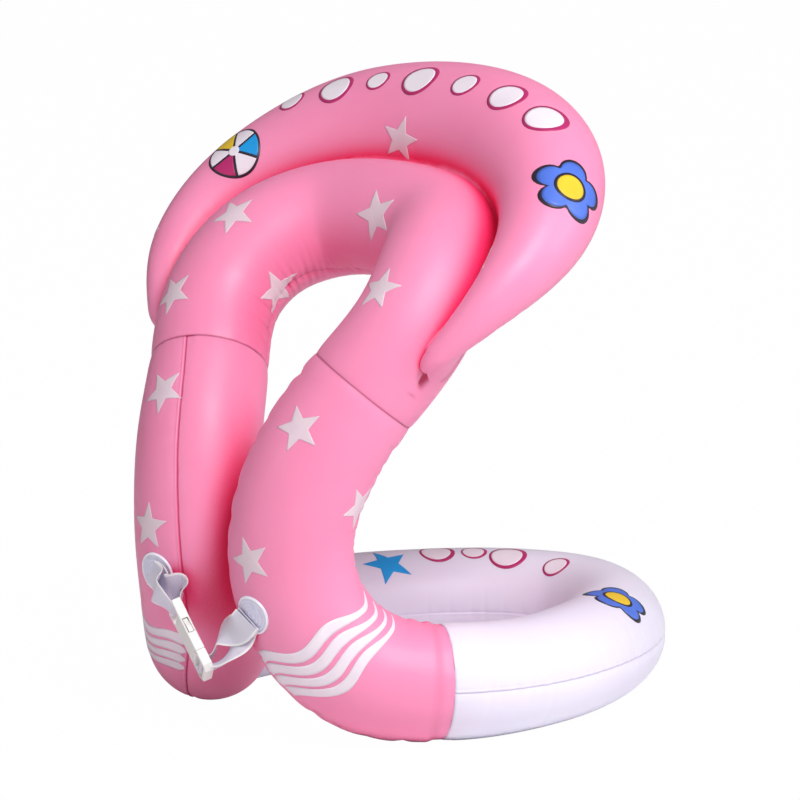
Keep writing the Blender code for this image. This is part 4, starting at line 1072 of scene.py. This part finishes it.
def right_sections(buckle, patch):
    at, on = partial(local_section, buckle), partial(patch_section, patch, HEADING_RIGHT)
    reach = PLUG_BAR_WIDTH / 2 + 0.6 + WEBBING_THICKNESS
    back = BUCKLE_THICKNESS / 2
    turns = np.radians((80, 50, 25, 0, -25, -50, -80))
    return [
        on(4, UPPER_LEVEL + 0.3), on(15, UPPER_LEVEL + 4),
        at(17, 20, PLUG_BAR + 14, (0.7, -0.35, -0.6)),
        *[at(0, y, PLUG_BAR + reach) for y in (back + 0.5, back / 2)],
        *[at(0, -cos(turn) * reach, PLUG_BAR + sin(turn) * reach) for turn in turns],
        *[at(0, y, PLUG_BAR - reach) for y in (back / 2, back + 0.5)],
        at(18, 17, PLUG_BAR - 5, (0.8, -0.3, -0.5)),
        on(PATCH_RADIUS + 5.5, LOWER_LEVEL + 3, 12), on(14, LOWER_LEVEL + 0.3, 8), on(3, LOWER_LEVEL)]


def webbing_rows(sections):
    """Centres, width directions and places along the webbing, every millimetre or so."""
    rows = [(*centre, *Vector(width).normalized()) for centre, width in sections]
    steps = [(Vector(b[:3]) - Vector(a[:3])).length for a, b in zip(rows, rows[1:])]
    chords = np.concatenate([[0], np.cumsum(steps)])
    places = np.linspace(0, chords[-1], int(chords[-1] / (WEBBING_STEP * MM)) + 1)
    return np.column_stack([natural_spline(chords, rows, places), places])


def webbing_piece(name, rows):
    """Woven tape with thicker edges, cut square at both ends."""
    centres, widths, places = rows[:, :3], unit(rows[:, 3:6]), rows[:, 6]
    along = unit(np.gradient(centres, axis=0))
    widths = unit(widths - along * (widths * along).sum(axis=1, keepdims=True))
    normals = np.cross(along, widths)
    across = np.concatenate([np.linspace(1, -1, 17), np.linspace(-1, 1, 17)])
    face = np.concatenate([np.ones(17), -np.ones(17)])
    edge = 1 + 0.35 * bell(np.abs(across) - 0.9, 0.07) - 0.5 * (np.abs(across) > 0.99)
    aside, half = across * WEBBING_WIDTH / 2, face * edge * WEBBING_THICKNESS * 0.42
    points = centres[:, None] + (widths[:, None] * aside[:, None] + normals[:, None] * half[:, None]) * MM
    faces = tube_faces(len(rows), len(across))
    piece = mesh_piece(name, points.reshape(-1, 3), faces, WEBBING, body=None, slot="webbing")
    uv = piece.data.uv_layers.new(name="weave")
    for loop in piece.data.loops:
        row, column = divmod(loop.vertex_index, len(across))
        uv.data[loop.index].uv = (aside[column], places[row] / MM)
    piece.data.set_sharp_from_angle(angle=radians(50))
    return piece


def build_straps(patch_left, patch_right):
    """The two loops of webbing, each led from its patch round a bar of the buckle; the right one is cut into
    three pieces.
    """
    flat = cos(BUCKLE_ROLL)
    across = (cos(BUCKLE_TILT) * flat, -sin(BUCKLE_ROLL), sin(BUCKLE_TILT) * flat)
    centre = Vector(BUCKLE_CENTRE) * MM + FOOTPRINT_SHIFT
    buckle = frame_matrix(centre, (-sin(BUCKLE_TILT), 0, cos(BUCKLE_TILT)), across)
    hold = patch_left.translation
    way = (buckle @ Vector((0, 0, SOCKET_BAR * MM)) - hold).normalized()
    left = webbing_piece("strap_left_web", webbing_rows(left_sections(buckle, patch_left)))
    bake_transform(left)
    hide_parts("strap_left")
    hold = patch_right.translation
    way = (buckle @ Vector((0, 0, PLUG_BAR * MM)) - hold).normalized()
    rows = webbing_rows(right_sections(buckle, patch_right))
    beyond = np.flatnonzero((rows[:, :3] - np.array(hold)) @ np.array(way) > LOOP_CUT)
    first, last = beyond[[0, -1]]
    upper = webbing_piece("strap_right_upper_web", rows[:first + 1])
    loop = webbing_piece("strap_right_loop_web", rows[first:last + 1])
    lower = webbing_piece("strap_right_lower_web", rows[last:])
    for piece in (upper, lower):
        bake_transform(piece)
    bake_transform(loop)
    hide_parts("strap_right")


def finish_hardware():
    """Better materials on the buckle and the valves, whose shapes are the CAD's own."""
    for node, piece in frame["nodes"].items():
        buckle, valve = node.startswith(("buckle", "latch")), "valve" in node
        for slot in piece.material_slots if buckle or valve else ():
            slot.material = BUCKLE_PLASTIC if buckle else VALVE_VINYL


# Camera, light and floor

def photo_camera():
    data = bpy.data.cameras.new("photo_camera")
    data.sensor_width, data.clip_end = SENSOR_WIDTH, 100
    data.lens = PHOTO_FOCAL / PHOTO_SIZE * SENSOR_WIDTH
    camera = add_object("photo_camera", data)
    camera.matrix_world = Matrix((RIGHT, UP, BACK)).transposed().to_4x4()
    camera.matrix_world.translation = PHOTO_PLACE
    SCENE.camera = camera


def soft_box(name, direction, distance, size, power):
    aside, nearer, above = direction
    toward = (RIGHT * aside + BACK * nearer + Vector((0, 0, above))).normalized()
    data = bpy.data.lights.new(name, "AREA")
    data.shape, data.size, data.energy = "DISK", size, power
    lamp = add_object(name, data)
    lamp.location = PHOTO_TARGET + toward * distance
    lamp.rotation_euler = toward.to_track_quat("Z", "Y").to_euler()


def build_studio():
    """A pale floor that shows white to the camera, and three soft boxes."""
    bpy.ops.mesh.primitive_plane_add(size=80)
    floor = bpy.context.object
    floor.name = "floor"
    made, tree, shader = new_material("floor", (0.90, 0.90, 0.90), 0.9)
    shader.inputs["Specular IOR Level"].default_value = 0.1
    glow = result(tree, "Emission", 0, {"Color": (1, 1, 1)})
    seen = result(tree, "LightPath", "Is Camera Ray", {})
    share = result(tree, "Math", 0, {0: seen, 1: FLOOR_GLOW}, operation="MULTIPLY")
    mix = result(tree, "MixShader", 0, {0: share, 1: shader.outputs[0], 2: glow})
    connect(tree, tree.nodes["Material Output"], {"Surface": mix})
    floor.data.materials.append(made)
    floor.visible_shadow = False
    world = bpy.data.worlds.new("studio")
    world.use_nodes = True
    background = world.node_tree.nodes["Background"]
    connect(world.node_tree, background, {"Color": WORLD_COLOUR, "Strength": WORLD_STRENGTH})
    SCENE.world = world
    for lamp in LAMPS:
        soft_box(*lamp)
    SCENE.view_settings.view_transform = "Standard"


SKINS = build_skins()
FILMS = Films(build_chambers())
build_fold_strips()
build_stars()
build_waves()
build_motifs()
PATCHES = {side: patch_frame(side, height, turn) for side, height, turn in PATCH_PLACES}
for side, patch in PATCHES.items():
    build_patch(f"patch_{side}", f"front_tube_{side}", patch)
build_straps(PATCHES["left"], PATCHES["right"])
finish_hardware()
photo_camera()
build_studio()
